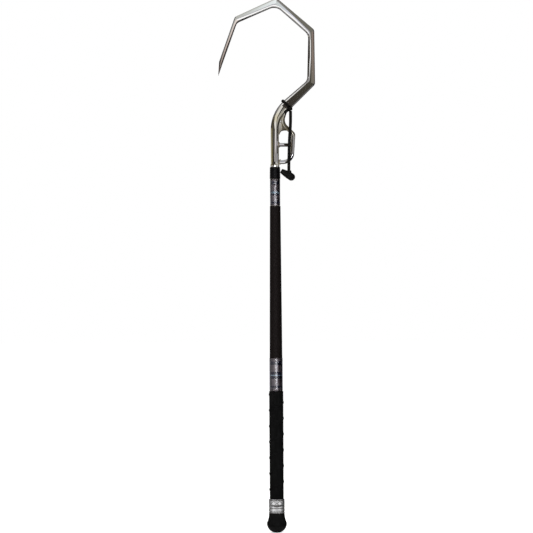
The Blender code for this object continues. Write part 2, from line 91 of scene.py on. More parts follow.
def node(tree, kind, inputs=None, **options):
    """Add a node with its options, and link or set the inputs named."""
    made = tree.nodes.new(kind)
    for name, value in options.items():
        setattr(made, name, value)
    for name, value in (inputs or {}).items():
        if isinstance(value, bpy.types.NodeSocket):
            tree.links.new(value, made.inputs[name])
        else:
            made.inputs[name].default_value = value
    return made


def maths(tree, operation, first, second=0.0, third=0.0):
    made = node(tree, "ShaderNodeMath", {0: first, 1: second, 2: third}, operation=operation)
    return made.outputs[0]


def by_ray(tree, seen, mirrored, light):
    """One value for rays from the eye or through glass, one for mirrors, one for light."""
    rays = node(tree, "ShaderNodeLightPath").outputs
    eye = maths(tree, "MAXIMUM", rays["Is Camera Ray"], rays["Is Transmission Ray"])
    other = maths(tree, "MULTIPLY_ADD", rays["Is Glossy Ray"], mirrored - light, light)
    kept = maths(tree, "MULTIPLY", other, maths(tree, "SUBTRACT", 1.0, eye))
    return maths(tree, "MULTIPLY_ADD", eye, seen, kept)


def empty_material(name):
    """A material with nothing in its tree yet."""
    made = bpy.data.materials.new(name)
    made.use_nodes = True
    made.node_tree.nodes.clear()
    return made, made.node_tree


def put(name, data):
    thing = bpy.data.objects.new(name, data)
    bpy.context.scene.collection.objects.link(thing)
    return thing


world = bpy.data.worlds.new("white_studio")
world.use_nodes = True
world.node_tree.nodes.clear()
level = by_ray(world.node_tree, 1.0, DIM_MIRROR, SOFT_LIGHT)
backdrop = node(world.node_tree, "ShaderNodeBackground", {"Strength": level})
backdrop.inputs["Color"].default_value = (1.0, 1.0, 1.0, 1.0)
node(world.node_tree, "ShaderNodeOutputWorld", {"Surface": backdrop.outputs["Background"]})
bpy.context.scene.world = world

pale_floor, floor_tree = empty_material("pale_floor")
paint = node(floor_tree, "ShaderNodeBsdfDiffuse", {"Color": (*FLOOR_COLOUR, 1.0)})
shine = node(floor_tree, "ShaderNodeEmission", {"Strength": by_ray(floor_tree, FLOOR_GLOW, 0.0, 0.0)})
both = node(floor_tree, "ShaderNodeAddShader", {0: paint.outputs[0], 1: shine.outputs[0]})
node(floor_tree, "ShaderNodeOutputMaterial", {"Surface": both.outputs[0]})

sheet = bmesh.new()
bmesh.ops.create_grid(sheet, x_segments=1, y_segments=1, size=FLOOR_SIZE / 2)
bmesh.ops.translate(sheet, verts=sheet.verts, vec=(0.0, 0.0, -FLOOR_DROP))
ground = bpy.data.meshes.new("floor")
sheet.to_mesh(ground)
sheet.free()
ground.materials.append(pale_floor)
put("floor", ground)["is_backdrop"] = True

# Lamps
# Soft boxes light the gaff from the front left, from the front and from above. They are
# not seen in its shiny surfaces.
# Each lamp: degrees round the gaff, distance, width, height from and to, tilt, power.
LAMPS = [
    ("low_lamp", -17, 1.7, 0.80, -0.10, 0.57, 90, 14.0),
    ("high_lamp", 0, 1.7, 1.00, 0.60, 1.02, 90, 12.0),
    ("top_lamp", -40, 0.6, 1.3, 1.80, 3.10, 20, 24.0),
]


def round_gaff(degrees, distance, height):
    turn = math.radians(degrees)
    return Vector((distance * math.sin(turn), -distance * math.cos(turn), height))


for name, degrees, distance, width, low, high, tilt, power in LAMPS:
    light = bpy.data.lights.new(name, "AREA")
    light.shape = "RECTANGLE"
    light.size = width
    light.size_y = high - low
    light.energy = power
    box = put(name, light)
    box.location = round_gaff(degrees, distance, (low + high) / 2)
    box.rotation_euler = (math.radians(tilt), 0.0, math.radians(degrees))
    box.visible_camera = False
    box.visible_glossy = False

# Cards
# Light and dark cards round the gaff are seen in its shiny surfaces alone. They give the
# steel its white strips and dark lines, and the epoxy its long highlight.
MM = 0.001
WHITE = (1.25, 1.25, 1.27)
BLUISH = (1.05, 1.13, 1.16)
SILVER = (0.56, 0.57, 0.54)
LILAC = (0.80, 0.82, 0.98)
PALE_BLUE = (0.70, 0.76, 0.76)
PALE = (0.85, 0.83, 0.78)
BROWN_GREY = (0.28, 0.225, 0.195)
GREEN_GREY = (0.19, 0.185, 0.16)
PALE_OLIVE = (0.42, 0.40, 0.30)
OLIVE = (0.20, 0.17, 0.08)
DEEP_OLIVE = (0.066, 0.061, 0.046)
GREY = (0.20, 0.19, 0.16)
MID_GREY = (0.35, 0.34, 0.34)
MID_LIGHT = (0.62, 0.61, 0.58)
LILAC_GREY = (0.46, 0.46, 0.52)
PINK = (0.39, 0.32, 0.29)
ROSE = (0.62, 0.53, 0.49)
WARM = (0.95, 0.86, 0.82)
DIM = (0.08, 0.075, 0.07)
DARK = (0.040, 0.034, 0.030)
PITCH = (0.020, 0.014, 0.010)
BLACK = (0.010, 0.010, 0.016)
HIGH_STRIP = (1.0, 1.0, 1.0)
STRIP = (0.72, 0.68, 0.74)
LOW_STRIP = (0.42, 0.38, 0.42)
GLARE = (7.5, 7.6, 7.9)
BRIGHT = (5.2, 5.3, 5.6)
SHEEN = (3.2, 3.3, 3.5)
HAZE = (0.62, 0.61, 0.68)

# Curved cards: distance, height from and to, degrees round from and to, colour. They are
# made of flats of about CARD_STEP degrees each.
CARD_STEP = 8
CURVED = [
    (2.2, -0.40, 0.70, -37, 14, WHITE),
    (2.1, 0.70, 0.862, -19, 31, BRIGHT),
    (2.1, 0.20, 0.36, -10, 9, GLARE),
    (2.1, 0.20, 0.36, 9, 33, SHEEN),
    (0.5, 0.085, 0.25, -40, 54, DIM),
    (2.1, 0.19, 0.36, -178, -37, HAZE),
    (2.1, 0.75, 0.875, -178, -37, HAZE),
    (2.1, 0.44, 0.70, 21, 105, BLACK),
    (2.0, -0.40, 0.44, 34, 105, BLACK),
    (0.12, 0.70, 0.826, 35, 125, BLACK),
    (0.25, 0.22, 0.50, 38, 125, BLACK),
    (2.1, 0.70, 0.86, 31, 120, BLACK),
    (2.2, 0.19, 0.36, 105, 170, HAZE),
    (2.2, 0.75, 0.875, 105, 170, HAZE),
    (2.2, 0.87, 1.10, -160, -104, PALE_OLIVE),
    (2.2, 0.87, 1.10, -104, -62, OLIVE),
    (2.2, 0.87, 1.10, -62, -17, PITCH),
    (2.2, 0.87, 1.10, -17, 0, GREY),
    (2.1, 1.010, 1.10, -5, 20, HIGH_STRIP),
    (2.1, 0.952, 1.010, -1, 20, STRIP),
    (2.1, 0.87, 0.952, 0, 20, LOW_STRIP),
    (2.2, 0.87, 1.10, 17, 46, MID_GREY),
    (2.2, 0.87, 1.10, 46, 82, DIM),
    (2.2, 0.87, 1.10, 82, 160, GREY),
    (2.2, 1.10, 1.36, -70, 0, WHITE),
    (2.2, 1.10, 1.36, 60, 100, BROWN_GREY),
    (2.2, 1.10, 1.60, -118, -70, DARK),
    (2.4, -0.40, 3.20, 100, 180, DARK),
    (2.4, -0.40, 3.20, -180, -118, DARK),
    (2.5, -0.40, 0.87, -118, 100, DARK),
]
# Level cards: their height, their corners as (x, y), colour.
LEVEL = [
    (0.012, [(-1.90, -0.42), (-1.90, -2.2), (1.90, -2.2), (1.90, -0.95), (0.0, -0.42)], WHITE),
    (0.014, [(-2.0, 2.0), (-2.0, -0.42), (0.0, -0.42), (0.25, -0.95), (2.0, -0.95), (2.0, 2.0)], DARK),
    (2.60, [(-2.4, -0.7), (-1.1, -0.7), (-1.1, 0.35), (-2.4, 0.35)], MID_GREY),
    (2.60, [(-1.05, -1.3), (-0.10, -1.3), (-0.10, 2.0), (-1.05, 2.0)], SILVER),
    (2.60, [(-0.10, -1.3), (0.20, -1.3), (0.20, 2.0), (-0.10, 2.0)], BLUISH),
    (2.60, [(0.20, -2.2), (2.40, -2.2), (2.40, 2.0), (0.20, 2.0)], GREEN_GREY),
    (0.935, [(0.0, -0.16), (0.055, -0.16), (0.055, -0.02), (0.0, -0.02)], DARK),
    (0.800, [(0.012, -0.16), (0.055, -0.16), (0.055, -0.025), (0.012, -0.025)], DARK),
]
# Low cards in front of the butt, turned up at their far edge: the distance and height of
# their corners, then for each card degrees from and to, and how light.
BUTT_PROFILE = [(0.22, 0.02), (1.2, 0.02), (1.2, 0.22)]
BUTT_CARDS = [(-140, -108, 0.20), (-108, -86, 0.37), (-86, -67, 0.45), (-67, -50, 1.00), (-50, -34, 0.95),
              (-34, -19, 0.82), (-19, -4, 0.70), (-4, 10, 0.64), (10, 25, 0.78), (25, 56, 0.95),
              (56, 74, 0.62), (74, 94, 0.27), (94, 120, 0.12), (120, 150, 0.05)]


# Strips of glowing card just in front of the hook, along its bars: painted reflections that
# lay the light and dark lines on its steel. The line gives the middle of the bar and its
# half depth in mm at each corner. Between two corners, each strip has the degrees round
# the bar's outer side where it begins, and its colour, at both ends.
STRIP_GAP = 6.0
HOOK_LINE = [
    (-126.0, 1030.5, 0.9), (-124.8, 1036.0, 2.5), (-108.4, 1091.0, 4.6), (-86.2, 1153.3, 5.0),
    (4.8, 1193.4, 7.2), (44.0, 1159.3, 7.6), (83.3, 1125.1, 7.9), (83.1, 1108.0, 8.0),
    (82.8, 1070.0, 8.2), (82.4, 1011.7, 8.6), (22.0, 956.0, 9.0), (5.8, 933.5, 9.1),
    (0.0, 906.0, 9.2), (0.0, 866.0, 9.2), (0.0, 850.0, 9.2), (0.0, 834.0, 9.2), (0.0, 828.0, 9.2),
]
HOOK_STRIPS = [
    [(-43, -43, PITCH, PITCH), (-8, -8, PINK, PINK), (8, 4, PITCH, PITCH), (43, 43)],
    [(-43, -43, PITCH, PITCH), (-8, -12, PINK, ROSE), (4, 26, PITCH, DIM), (43, 43)],
    [(-43, -43, PITCH, PITCH), (-12, -24, ROSE, WARM), (26, 12, DIM, SILVER), (43, 43)],
    [(-38, -38, BLACK, BLACK), (-24, -34, WHITE, WHITE), (2, -20, LILAC_GREY, LILAC_GREY),
     (8, -10, SILVER, BLUISH), (43, 43)],
    [(-38, -38, SILVER, PITCH), (-36, -33, WHITE, WHITE), (-26, -7, PALE_BLUE, LILAC),
     (20, 7, MID_GREY, GREEN_GREY), (43, 43)],
    [(-38, -38, PITCH, DARK), (-33, -34, WHITE, WHITE), (-7, -22, LILAC, LILAC_GREY),
     (7, -10, GREEN_GREY, GREEN_GREY), (43, 43)],
    [(-38, -38, STRIP, MID_GREY), (-26, -22, MID_GREY, MID_LIGHT), (-8, -8, GREY, DEEP_OLIVE),
     (7, 7, BROWN_GREY, BROWN_GREY), (43, 43)],
    [(-38, -38, GREY, DIM), (-22, -18, HIGH_STRIP, WHITE), (-6, -6, DEEP_OLIVE, DEEP_OLIVE),
     (7, 7, BROWN_GREY, BROWN_GREY), (43, 43)],
    [(-38, -38, DIM, DIM), (-18, -37, WHITE, MID_GREY), (-6, -20, DEEP_OLIVE, DEEP_OLIVE),
     (7, 0, BROWN_GREY, GREY), (43, 43)],
    [(-38, -43, HIGH_STRIP, HIGH_STRIP), (-31, -31, DEEP_OLIVE, DARK), (38, 34, DARK, PITCH), (43, 43)],
    [(-43, -43, MID_LIGHT, DARK), (-34, -34, PALE, PALE), (-16, -2, DIM, DIM), (-2, 8, GREY, MID_LIGHT),
     (14, 22, PALE, GREY), (26, 34, PITCH, DARK), (38, 38)],
    [(-43, -43, DARK, OLIVE), (-41, -34, DARK, DIM), (-32, 3, PALE, HIGH_STRIP), (-2, 15, DIM, MID_GREY),
     (8, 17, MID_LIGHT, MID_GREY), (22, 30, GREY, DIM), (38, 38)],
    [(-43, -43, OLIVE, OLIVE), (-34, -32, DIM, DARK), (-12, -14, DIM, GREY), (3, 0, HIGH_STRIP, STRIP),
     (17, 15, MID_GREY, MID_GREY), (30, 28, DIM, DIM), (38, 38)],
    [(-43, -43, OLIVE, OLIVE), (-32, -32, DARK, PITCH), (-14, -16, GREY, GREY), (0, -6, STRIP, MID_GREY),
     (15, 14, MID_GREY, MID_GREY), (28, 27, DIM, DIM), (38, 38)],
    [(-43, -43, OLIVE, OLIVE), (-32, -31, PITCH, PITCH), (-14, -10, MID_GREY, MID_GREY),
     (27, 28, DIM, GREY), (38, 38)],
    [(-43, -43, OLIVE, OLIVE), (-38, -38, DARK, DARK), (8, 8, MID_LIGHT, MID_LIGHT),
     (26, 26, GREY, GREY), (38, 38)],
]
# The same for the side loop's outer bar, its cross bar in two parts, and its lower bar.
LOOP_STRIPS = [
    ([(38.0, 893.0, 4.5), (38.0, 850.0, 4.5)],
     [(-25, -25, DARK, DARK), (-8, -8, DIM, DIM), (8, 8, MID_GREY, MID_GREY), (43, 43)]),
    ([(9.0, 871.9, 4.4), (21.0, 871.9, 4.4)],
     [(-30, -30, DIM, DIM), (-6, -6, STRIP, STRIP), (24, 24, DIM, DIM), (30, 30)]),
    ([(21.0, 871.9, 4.4), (34.0, 871.9, 4.4)],
     [(-30, -30, PITCH, PITCH), (30, 30)]),
    ([(9.0, 833.2, 4.5), (24.0, 833.2, 4.5)],
     [(-36, -36, DIM, DIM), (-30, -30, HIGH_STRIP, HIGH_STRIP), (-8, -8, LILAC_GREY, LILAC_GREY),
      (34, 34)]),
]


def card(name, points, faces, colours):
    """A card seen in mirrors alone, of one colour, or with a colour for each point."""
    paper, tree = empty_material(name)
    mesh = bpy.data.meshes.new(name)
    mesh.from_pydata(points, [], faces)
    card_glows = mesh.attributes.new("card_glow", "FLOAT_COLOR", "POINT").data
    for k, card_glow in enumerate(card_glows):
        card_glow.color = (*(colours[k] if isinstance(colours, list) else colours), 1.0)
    # The card glows in this colour and lights nothing; it shows only as a reflection in shiny surfaces.
    card_glow = node(tree, "ShaderNodeAttribute", attribute_name="card_glow")
    lit = node(tree, "ShaderNodeEmission", {"Color": card_glow.outputs["Color"]})
    node(tree, "ShaderNodeOutputMaterial", {"Surface": lit.outputs[0]})
    mesh.materials.append(paper)
    made = put(name, mesh)
    for rays in ("camera", "diffuse", "transmission", "volume_scatter", "shadow"):
        setattr(made, "visible_" + rays, False)
    made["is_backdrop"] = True


def strip_cards(name, line, spans):
    """Strips in front of bent round bars, mitred where two bars meet."""
    middles = [Vector((x, z)) for x, z, half in line]
    ways = [(b - a).normalized() for a, b in zip(middles, middles[1:])]
    sides = [Vector((-way.y, way.x)) for way in ways]
    for k, strips in enumerate(spans):
        ends = []
        for j in (k, k + 1):
            before, after = sides[max(j - 1, 0)], sides[min(j, len(sides) - 1)]
            ends.append((middles[j], (before + after) / (1 + before.dot(after)), line[j][2]))
        for n, (strip, following) in enumerate(zip(strips, strips[1:])):
            points = []
            for turns in (strip, following):
                for (middle, mitre, half), degrees in zip(ends, turns):
                    turn = math.radians(degrees)
                    away = half + STRIP_GAP - half * math.cos(turn)
                    spot = middle + mitre * (half * math.sin(turn) + away * math.tan(2 * turn))
                    points.append((spot.x * MM, -(half + STRIP_GAP) * MM, spot.y * MM))
            colours = [strip[2], strip[3], strip[2], strip[3]]
            card("%s_%d_%d" % (name, k + 1, n + 1), points, [(0, 1, 3, 2)], colours)


for k, (distance, low, high, start, end, colour) in enumerate(CURVED):
    steps = max(2, round((end - start) / CARD_STEP))
    points = []
    for j in range(steps + 1):
        degrees = start + (end - start) * j / steps
        points += [round_gaff(degrees, distance, low), round_gaff(degrees, distance, high)]
    faces = [(2 * j, 2 * j + 1, 2 * j + 3, 2 * j + 2) for j in range(steps)]
    card("curved_card_%d" % (k + 1), points, faces, colour)
for k, (height, corners, colour) in enumerate(LEVEL):
    card("level_card_%d" % (k + 1), [(x, y, height) for x, y in corners], [range(len(corners))], colour)
for k, (start, end, light) in enumerate(BUTT_CARDS):
    points = []
    for degrees in (start, end):
        points += [round_gaff(degrees, *spot) for spot in BUTT_PROFILE]
    card("butt_card_%d" % (k + 1), points, [(0, 1, 4, 3), (1, 2, 5, 4)], (light, light, light))
strip_cards("hook_strip", HOOK_LINE, HOOK_STRIPS)
for k, (line, strips) in enumerate(LOOP_STRIPS):
    strip_cards("loop_strip_%d" % (k + 1), line, [strips])

# Hook
# One polished stainless bar, bent at five corners and ground to a point. Its lower end
# is turned down to a tang, which goes into the pole. Its outline is that of the solid.
SHANK_R = 0.0092
TANG_R = 0.0086
TANG_BEVEL = 0.0015
TANG_END = 0.660
TANG_TOP = 0.8219
SHANK_FOOT_OUTER = (9.2, 821.8)
SHANK_FOOT_INNER = (-9.2, 821.8)
HOOK_OUTER = [((9.2, 926.4), 48.0), ((91.3, 1007.1), 9.0), ((90.1, 1130.6), 10.0), ((5.6, 1202.7), 13.0),
              ((-88.6, 1160.2), 8.0)]
HOOK_INNER = [((-9.2, 945.7), 88.0), ((73.5, 1016.4), 18.0), ((76.4, 1119.5), 20.0), ((3.9, 1184.1), 24.0),
              ((-83.8, 1146.3), 14.0)]
GRIND_OUTER = (-124.4, 1059.8)
GRIND_INNER = (-116.1, 1056.7)
HOOK_POINT = (-126.2, 1028.7)
POINT_R = 0.0004
POINT_STEPS = 12
HOOK_DEPTHS = [9.2, 9.0, 8.6, 7.9, 7.2, 5.0, 4.6]
CORNER_STEPS = 28
STRAIGHT_STEPS = 10
BAR_SIDES = 64
SHARP_EDGE = math.radians(40)
STEEL = (0.80, 0.79, 0.77)
STRAW_TINT = (0.62, 0.52, 0.24)
HANDLED_STEEL = (0.58, 0.56, 0.52)
DENT_DEPTH = 400.0


def round_corner(before, corner, after, radius, steps):
    """Points of the arc that rounds one corner of a flat run."""
    to_before = (before - corner).normalized()
    to_after = (after - corner).normalized()
    half = to_before.angle(to_after) / 2
    centre = corner + (to_before + to_after).normalized() * (radius / math.sin(half))
    start = corner + to_before * (radius / math.tan(half)) - centre
    swing = math.pi - 2 * half
    side = 1.0 if start.cross(corner + to_after * (radius / math.tan(half)) - centre) > 0 else -1.0
    turns = [side * swing * k / steps for k in range(steps + 1)]
    return [centre + Matrix.Rotation(turn, 2) @ start for turn in turns]


def rounded_run(corners, first, last, corner_steps, straight_steps):
    """A flat run in mm, with its corners rounded and its straights divided, in metres."""
    spots = [Vector(first)] + [Vector(c) for c, radius in corners] + [Vector(last)]
    stretches = [[spots[0]]]
    for k, (corner, radius) in enumerate(corners):
        stretches.append(round_corner(spots[k], spots[k + 1], spots[k + 2], radius, corner_steps))
    stretches.append([spots[-1]])
    run = []
    for arc, after in zip(stretches, stretches[1:]):
        run += arc
        run += [arc[-1].lerp(after[0], k / straight_steps) for k in range(1, straight_steps)]
    return [spot * MM for spot in run + stretches[-1]]


def meshed(name, shape, finish, sharp=SHARP_EDGE):
    """End a bmesh as a piece with smooth sides and sharp corners."""
    bmesh.ops.recalc_face_normals(shape, faces=shape.faces)
    mesh = bpy.data.meshes.new(name)
    shape.to_mesh(mesh)
    shape.free()
    mesh.shade_smooth()
    mesh.set_sharp_from_angle(angle=sharp)
    mesh.materials.append(finish)
    return put(name, mesh)


def skin(name, rings, finish):
    """A mesh skinned over rings of points, closed at both ends, with smooth sides."""
    shape = bmesh.new()
    loops = [[shape.verts.new(spot) for spot in ring] for ring in rings]
    for low, high in zip(loops, loops[1:]):
        for k in range(len(low)):
            after = (k + 1) % len(low)
            shape.faces.new((low[k], low[after], high[after], high[k]))
    shape.faces.new(loops[0])
    shape.faces.new(loops[-1])
    return meshed(name, shape, finish)


def finish(name, colour, roughness, metallic=0.0, **shine):
    """A material with its Principled shader; shine sets more sockets, words joined by _."""
    made = bpy.data.materials.new(name)
    made.use_nodes = True
    shader = made.node_tree.nodes["Principled BSDF"]
    shader.inputs["Base Color"].default_value = (*colour, 1.0)
    shader.inputs["Roughness"].default_value = roughness
    shader.inputs["Metallic"].default_value = metallic
    for words, value in shine.items():
        shader.inputs[words.replace("_", " ")].default_value = value
    made.diffuse_color = (*colour, 1.0)
    return made, made.node_tree, shader


def stretched_noise(tree, scale, detail=4.0, rough=0.55):
    """Noise on the piece's own coordinates, stretched by a scale along each axis."""
    spots = node(tree, "ShaderNodeTexCoord").outputs["Object"]
    grid = node(tree, "ShaderNodeMapping", {"Vector": spots, "Scale": scale})
    cloud = node(tree, "ShaderNodeTexNoise", {"Vector": grid.outputs[0], "Scale": 1.0, "Detail": detail,
                                              "Roughness": rough})
    return cloud.outputs["Fac"]


def ranged(tree, value, low, high, start=0.3, end=0.7):
    """Turn a value between start and end into one between low and high."""
    made = node(tree, "ShaderNodeMapRange", {"Value": value, "From Min": start, "From Max": end,
                                             "To Min": low, "To Max": high})
    return made.outputs["Result"]


def mixed(tree, share, first, second):
    """A colour between two, by a share."""
    made = node(tree, "ShaderNodeMix", {0: share}, data_type="RGBA")
    for socket, colour in ((6, first), (7, second)):
        if isinstance(colour, bpy.types.NodeSocket):
            tree.links.new(colour, made.inputs[socket])
        else:
            made.inputs[socket].default_value = (*colour, 1.0)
    return made.outputs[2]


def bumped(tree, shader, height, depth):
    """Drive a shader's normal by a height of so many metres."""
    made = node(tree, "ShaderNodeBump", {"Height": height, "Distance": depth, "Strength": 1.0})
    tree.links.new(made.outputs["Normal"], shader.inputs["Normal"])


def polished_steel(name, tint_level, tint_reach, worked=None):
    """Polished stainless: polishing lines, handling marks, weld tint, and dents where worked."""
    made, tree, shader = finish(name, STEEL, 0.1, 1.0)
    lines = stretched_noise(tree, (900.0, 900.0, 60.0), 6.0, 0.6)
    marks = stretched_noise(tree, (45.0, 45.0, 30.0), 5.0, 0.62)
    fine = ranged(tree, lines, 0.055, 0.12)
    smear = ranged(tree, marks, 0.0, 0.11, 0.48, 0.72)
    tree.links.new(maths(tree, "ADD", fine, smear), shader.inputs["Roughness"])
    height = node(tree, "ShaderNodeSeparateXYZ", {0: node(tree, "ShaderNodeTexCoord").outputs["Object"]})
    away = maths(tree, "ABSOLUTE", maths(tree, "SUBTRACT", height.outputs["Z"], tint_level))
    near = ranged(tree, away, 1.0, 0.0, 0.0, tint_reach)
    patch = ranged(tree, stretched_noise(tree, (60.0, 60.0, 38.0), 3.0), 0.15, 1.0, 0.38, 0.62)
    heat = maths(tree, "MULTIPLY", near, patch)
    straw = mixed(tree, heat, STEEL, STRAW_TINT)
    handled = mixed(tree, ranged(tree, marks, 0.0, 0.22, 0.45, 0.75), straw, HANDLED_STEEL)
    tree.links.new(handled, shader.inputs["Base Color"])
    relief = lines
    if worked:
        place = node(tree, "ShaderNodeTexCoord").outputs["Object"]
        gap = node(tree, "ShaderNodeVectorMath", {0: place, 1: worked}, operation="DISTANCE")
        dents = stretched_noise(tree, (190.0, 190.0, 190.0), 2.0)
        depth = ranged(tree, gap.outputs["Value"], DENT_DEPTH, 0.0, 0.010, 0.024)
        relief = maths(tree, "MULTIPLY_ADD", dents, depth, lines)
    bumped(tree, shader, relief, 0.0000006)
    return made


hook_steel = polished_steel("hook_steel", tint_level=0.915, tint_reach=0.034, worked=(0.010, 0.0, 0.943))
outer = rounded_run(HOOK_OUTER, SHANK_FOOT_OUTER, GRIND_OUTER, CORNER_STEPS, STRAIGHT_STEPS)
inner = rounded_run(HOOK_INNER, SHANK_FOOT_INNER, GRIND_INNER, CORNER_STEPS, STRAIGHT_STEPS)
span = CORNER_STEPS + STRAIGHT_STEPS
tang = [(TANG_R - TANG_BEVEL, TANG_END), (TANG_R, TANG_END + TANG_BEVEL), (TANG_R, TANG_TOP)]
stations = [(Vector((r, z)), Vector((-r, z)), r) for r, z in tang]
for k, (out, inn) in enumerate(zip(outer, inner)):
    corner = min(max((k - STRAIGHT_STEPS / 2) / span, 0.0), len(HOOK_DEPTHS) - 1.001)
    here, after = HOOK_DEPTHS[int(corner)], HOOK_DEPTHS[int(corner) + 1]
    stations.append((out, inn, (here + (after - here) * (corner - int(corner))) * MM))
shoulder_out, shoulder_in, shoulder_depth = stations[-1]
point = Vector(HOOK_POINT) * MM
lean = (shoulder_out - shoulder_in).normalized() * POINT_R
for k in range(1, POINT_STEPS + 1):
    share = k / POINT_STEPS
    stations.append((shoulder_out.lerp(point + lean, share), shoulder_in.lerp(point - lean, share),
                     shoulder_depth + (POINT_R - shoulder_depth) * share))
rings = []
for out, inn, depth in stations:
    turns = [2 * math.pi * k / BAR_SIDES for k in range(BAR_SIDES)]
    flat = [(out + inn) / 2 + (out - inn) / 2 * math.cos(turn) for turn in turns]
    rings.append([(spot.x, depth * math.sin(turn), spot.y) for spot, turn in zip(flat, turns)])
hook_bar = skin("hook_bar", rings, hook_steel)
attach(hook_bar, "root")
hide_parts("hook")

# Side loop
# A 9 mm round bar bent to a long loop and welded to the shank, with a short bar across
# it. Snap hooks and lines go through its two windows.
ROD_R = 0.0045
LOOP_START = (23.5, 947.0)
LOOP_CORNERS = [((15.2, 921.6), 22.0), ((41.8, 895.8), 8.0), ((37.9, 833.2), 21.0)]
LOOP_END = (3.0, 833.2)
CROSSBAR_R = 0.0044
CROSSBAR_Z = 0.8719
CROSSBAR_ENDS = (0.006, 0.0385)
ROD_SIDES = 40
ROD_CORNER_STEPS = 16
ROD_STRAIGHT_STEPS = 8


def swept(name, path, radius, sides, finish):
    """A round bar along a path in the plane of the hook."""
    rings = []
    for k, spot in enumerate(path):
        along = (path[min(k + 1, len(path) - 1)] - path[max(k - 1, 0)]).normalized()
        across = Vector((along.z, 0.0, -along.x))
        turns = [2 * math.pi * j / sides for j in range(sides)]
        rings.append([spot + (across * math.cos(turn) + Vector((0, 1, 0)) * math.sin(turn)) * radius
                      for turn in turns])
    return skin(name, rings, finish)


loop_steel = polished_steel("loop_steel", tint_level=0.915, tint_reach=0.030)
flat_path = rounded_run(LOOP_CORNERS, LOOP_START, LOOP_END, ROD_CORNER_STEPS, ROD_STRAIGHT_STEPS)
loop_path = [Vector((spot.x, 0.0, spot.y)) for spot in flat_path]
side_rod = swept("side_rod", loop_path, ROD_R, ROD_SIDES, loop_steel)
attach(side_rod, "root")
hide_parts("side_loop")

low, high = CROSSBAR_ENDS
bar_path = [Vector((low + (high - low) * k / ROD_STRAIGHT_STEPS, 0.0, CROSSBAR_Z))
            for k in range(ROD_STRAIGHT_STEPS + 1)]
cross_rod = swept("cross_rod", bar_path, CROSSBAR_R, ROD_SIDES, loop_steel)
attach(cross_rod, "root")
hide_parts("loop_crossbar")

# Loop web
# A small plate that fills the corner between the shank and the top of the loop. Its
# lower edge is arched, all its edges are rounded, and the welding has left it straw brown.
WEB_OUTLINE = [(4.0, 895.0), (10.6, 895.0), (12.2, 899.4), (15.6, 902.8), (20.5, 903.9), (31.0, 903.9),
               (17.0, 923.5), (4.0, 923.5)]
WEB_THICKNESS = 0.0070
WEB_EDGE = 0.0024

web_steel = polished_steel("web_steel", tint_level=0.912, tint_reach=0.060)
plate = bmesh.new()
face = plate.faces.new([plate.verts.new((x * MM, -WEB_THICKNESS / 2, z * MM)) for x, z in WEB_OUTLINE])
lifted = bmesh.ops.extrude_face_region(plate, geom=[face])["geom"]
far_side = [v for v in lifted if isinstance(v, bmesh.types.BMVert)]
bmesh.ops.translate(plate, verts=far_side, vec=(0.0, WEB_THICKNESS, 0.0))
bmesh.ops.recalc_face_normals(plate, faces=plate.faces)
rims = [e for e in plate.edges if abs(e.verts[0].co.y - e.verts[1].co.y) < 1e-6]
bmesh.ops.bevel(plate, geom=rims, offset=WEB_EDGE, segments=6, profile=0.5, affect="EDGES")
loop_web = meshed("loop_web", plate, web_steel)
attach(loop_web, "root")
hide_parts("loop_gusset")

# Weld beads
# Rippled beads run round each joint of the loop: overlapping drops of weld metal, one
# behind the other, laid along a ring where a rod enters the bar that carries it.
BEAD_R = 0.0013
BEAD_STEP = 0.0009
BEAD_FLATNESS = 0.62
# Rings of beads: name, distance from the axis, how far the ring bends with the bar it
# meets, half width, height of its middle, half height.
RING_WELDS = [
    ("low_weld", 0.0116, -0.0022, 0.0048, 0.8334, 0.0050),
    ("bar_weld", 0.0100, -0.0012, 0.0047, CROSSBAR_Z, 0.0047),
    ("far_weld", 0.0361, 0.0012, 0.0046, CROSSBAR_Z, 0.0046),
]
RING_WELD_STEPS = 48
TOP_WELD = (0.919, 0.939)


def recipe(name, sizes):
    """A geometry tree with named sizes, a material, and one geometry in and out."""
    tree = bpy.data.node_groups.new(name, "GeometryNodeTree")
    tree.interface.new_socket("Geometry", in_out="INPUT", socket_type="NodeSocketGeometry")
    for label, start in sizes.items():
        kind = "NodeSocketInt" if isinstance(start, int) else "NodeSocketFloat"
        tree.interface.new_socket(label, in_out="INPUT", socket_type=kind).default_value = start
    tree.interface.new_socket("Material", in_out="INPUT", socket_type="NodeSocketMaterial")
    tree.interface.new_socket("Geometry", in_out="OUTPUT", socket_type="NodeSocketGeometry")
    return tree, tree.nodes.new("NodeGroupInput").outputs


def served(tree, inputs, geometry):
    """End a geometry tree: plain mesh, one material."""
    plain = node(tree, "GeometryNodeRealizeInstances", {0: geometry}).outputs[0]
    painted = node(tree, "GeometryNodeSetMaterial", {"Geometry": plain, "Material": inputs["Material"]})
    node(tree, "NodeGroupOutput", {0: painted.outputs[0]})


def cooked(name, tree, finish, source=None, **sizes):
    """Run a geometry tree on a source object, or on none, and keep the result as one mesh."""
    base = source or put(name + "_base", bpy.data.meshes.new(name + "_base"))
    step = base.modifiers.new("recipe", "NODES")
    step.node_group = tree
    for item in tree.interface.items_tree:
        if item.in_out == "INPUT" and item.name.replace(" ", "_").lower() in sizes:
            step[item.identifier] = sizes[item.name.replace(" ", "_").lower()]
        if item.in_out == "INPUT" and item.name == "Material":
            step[item.identifier] = finish
    view = base.evaluated_get(bpy.context.evaluated_depsgraph_get())
    mesh = bpy.data.meshes.new_from_object(view)
    mesh.name = name
    base.modifiers.remove(step)
    bpy.data.objects.remove(base)
    return put(name, mesh)


def line_of(name, points, closed=False):
    """A poly curve through points."""
    curve = bpy.data.curves.new(name, "CURVE")
    curve.dimensions = "3D"
    spline = curve.splines.new("POLY")
    spline.points.add(len(points) - 1)
    for spot, place in zip(spline.points, points):
        spot.co = (*place, 1.0)
    spline.use_cyclic_u = closed
    return put(name, curve)


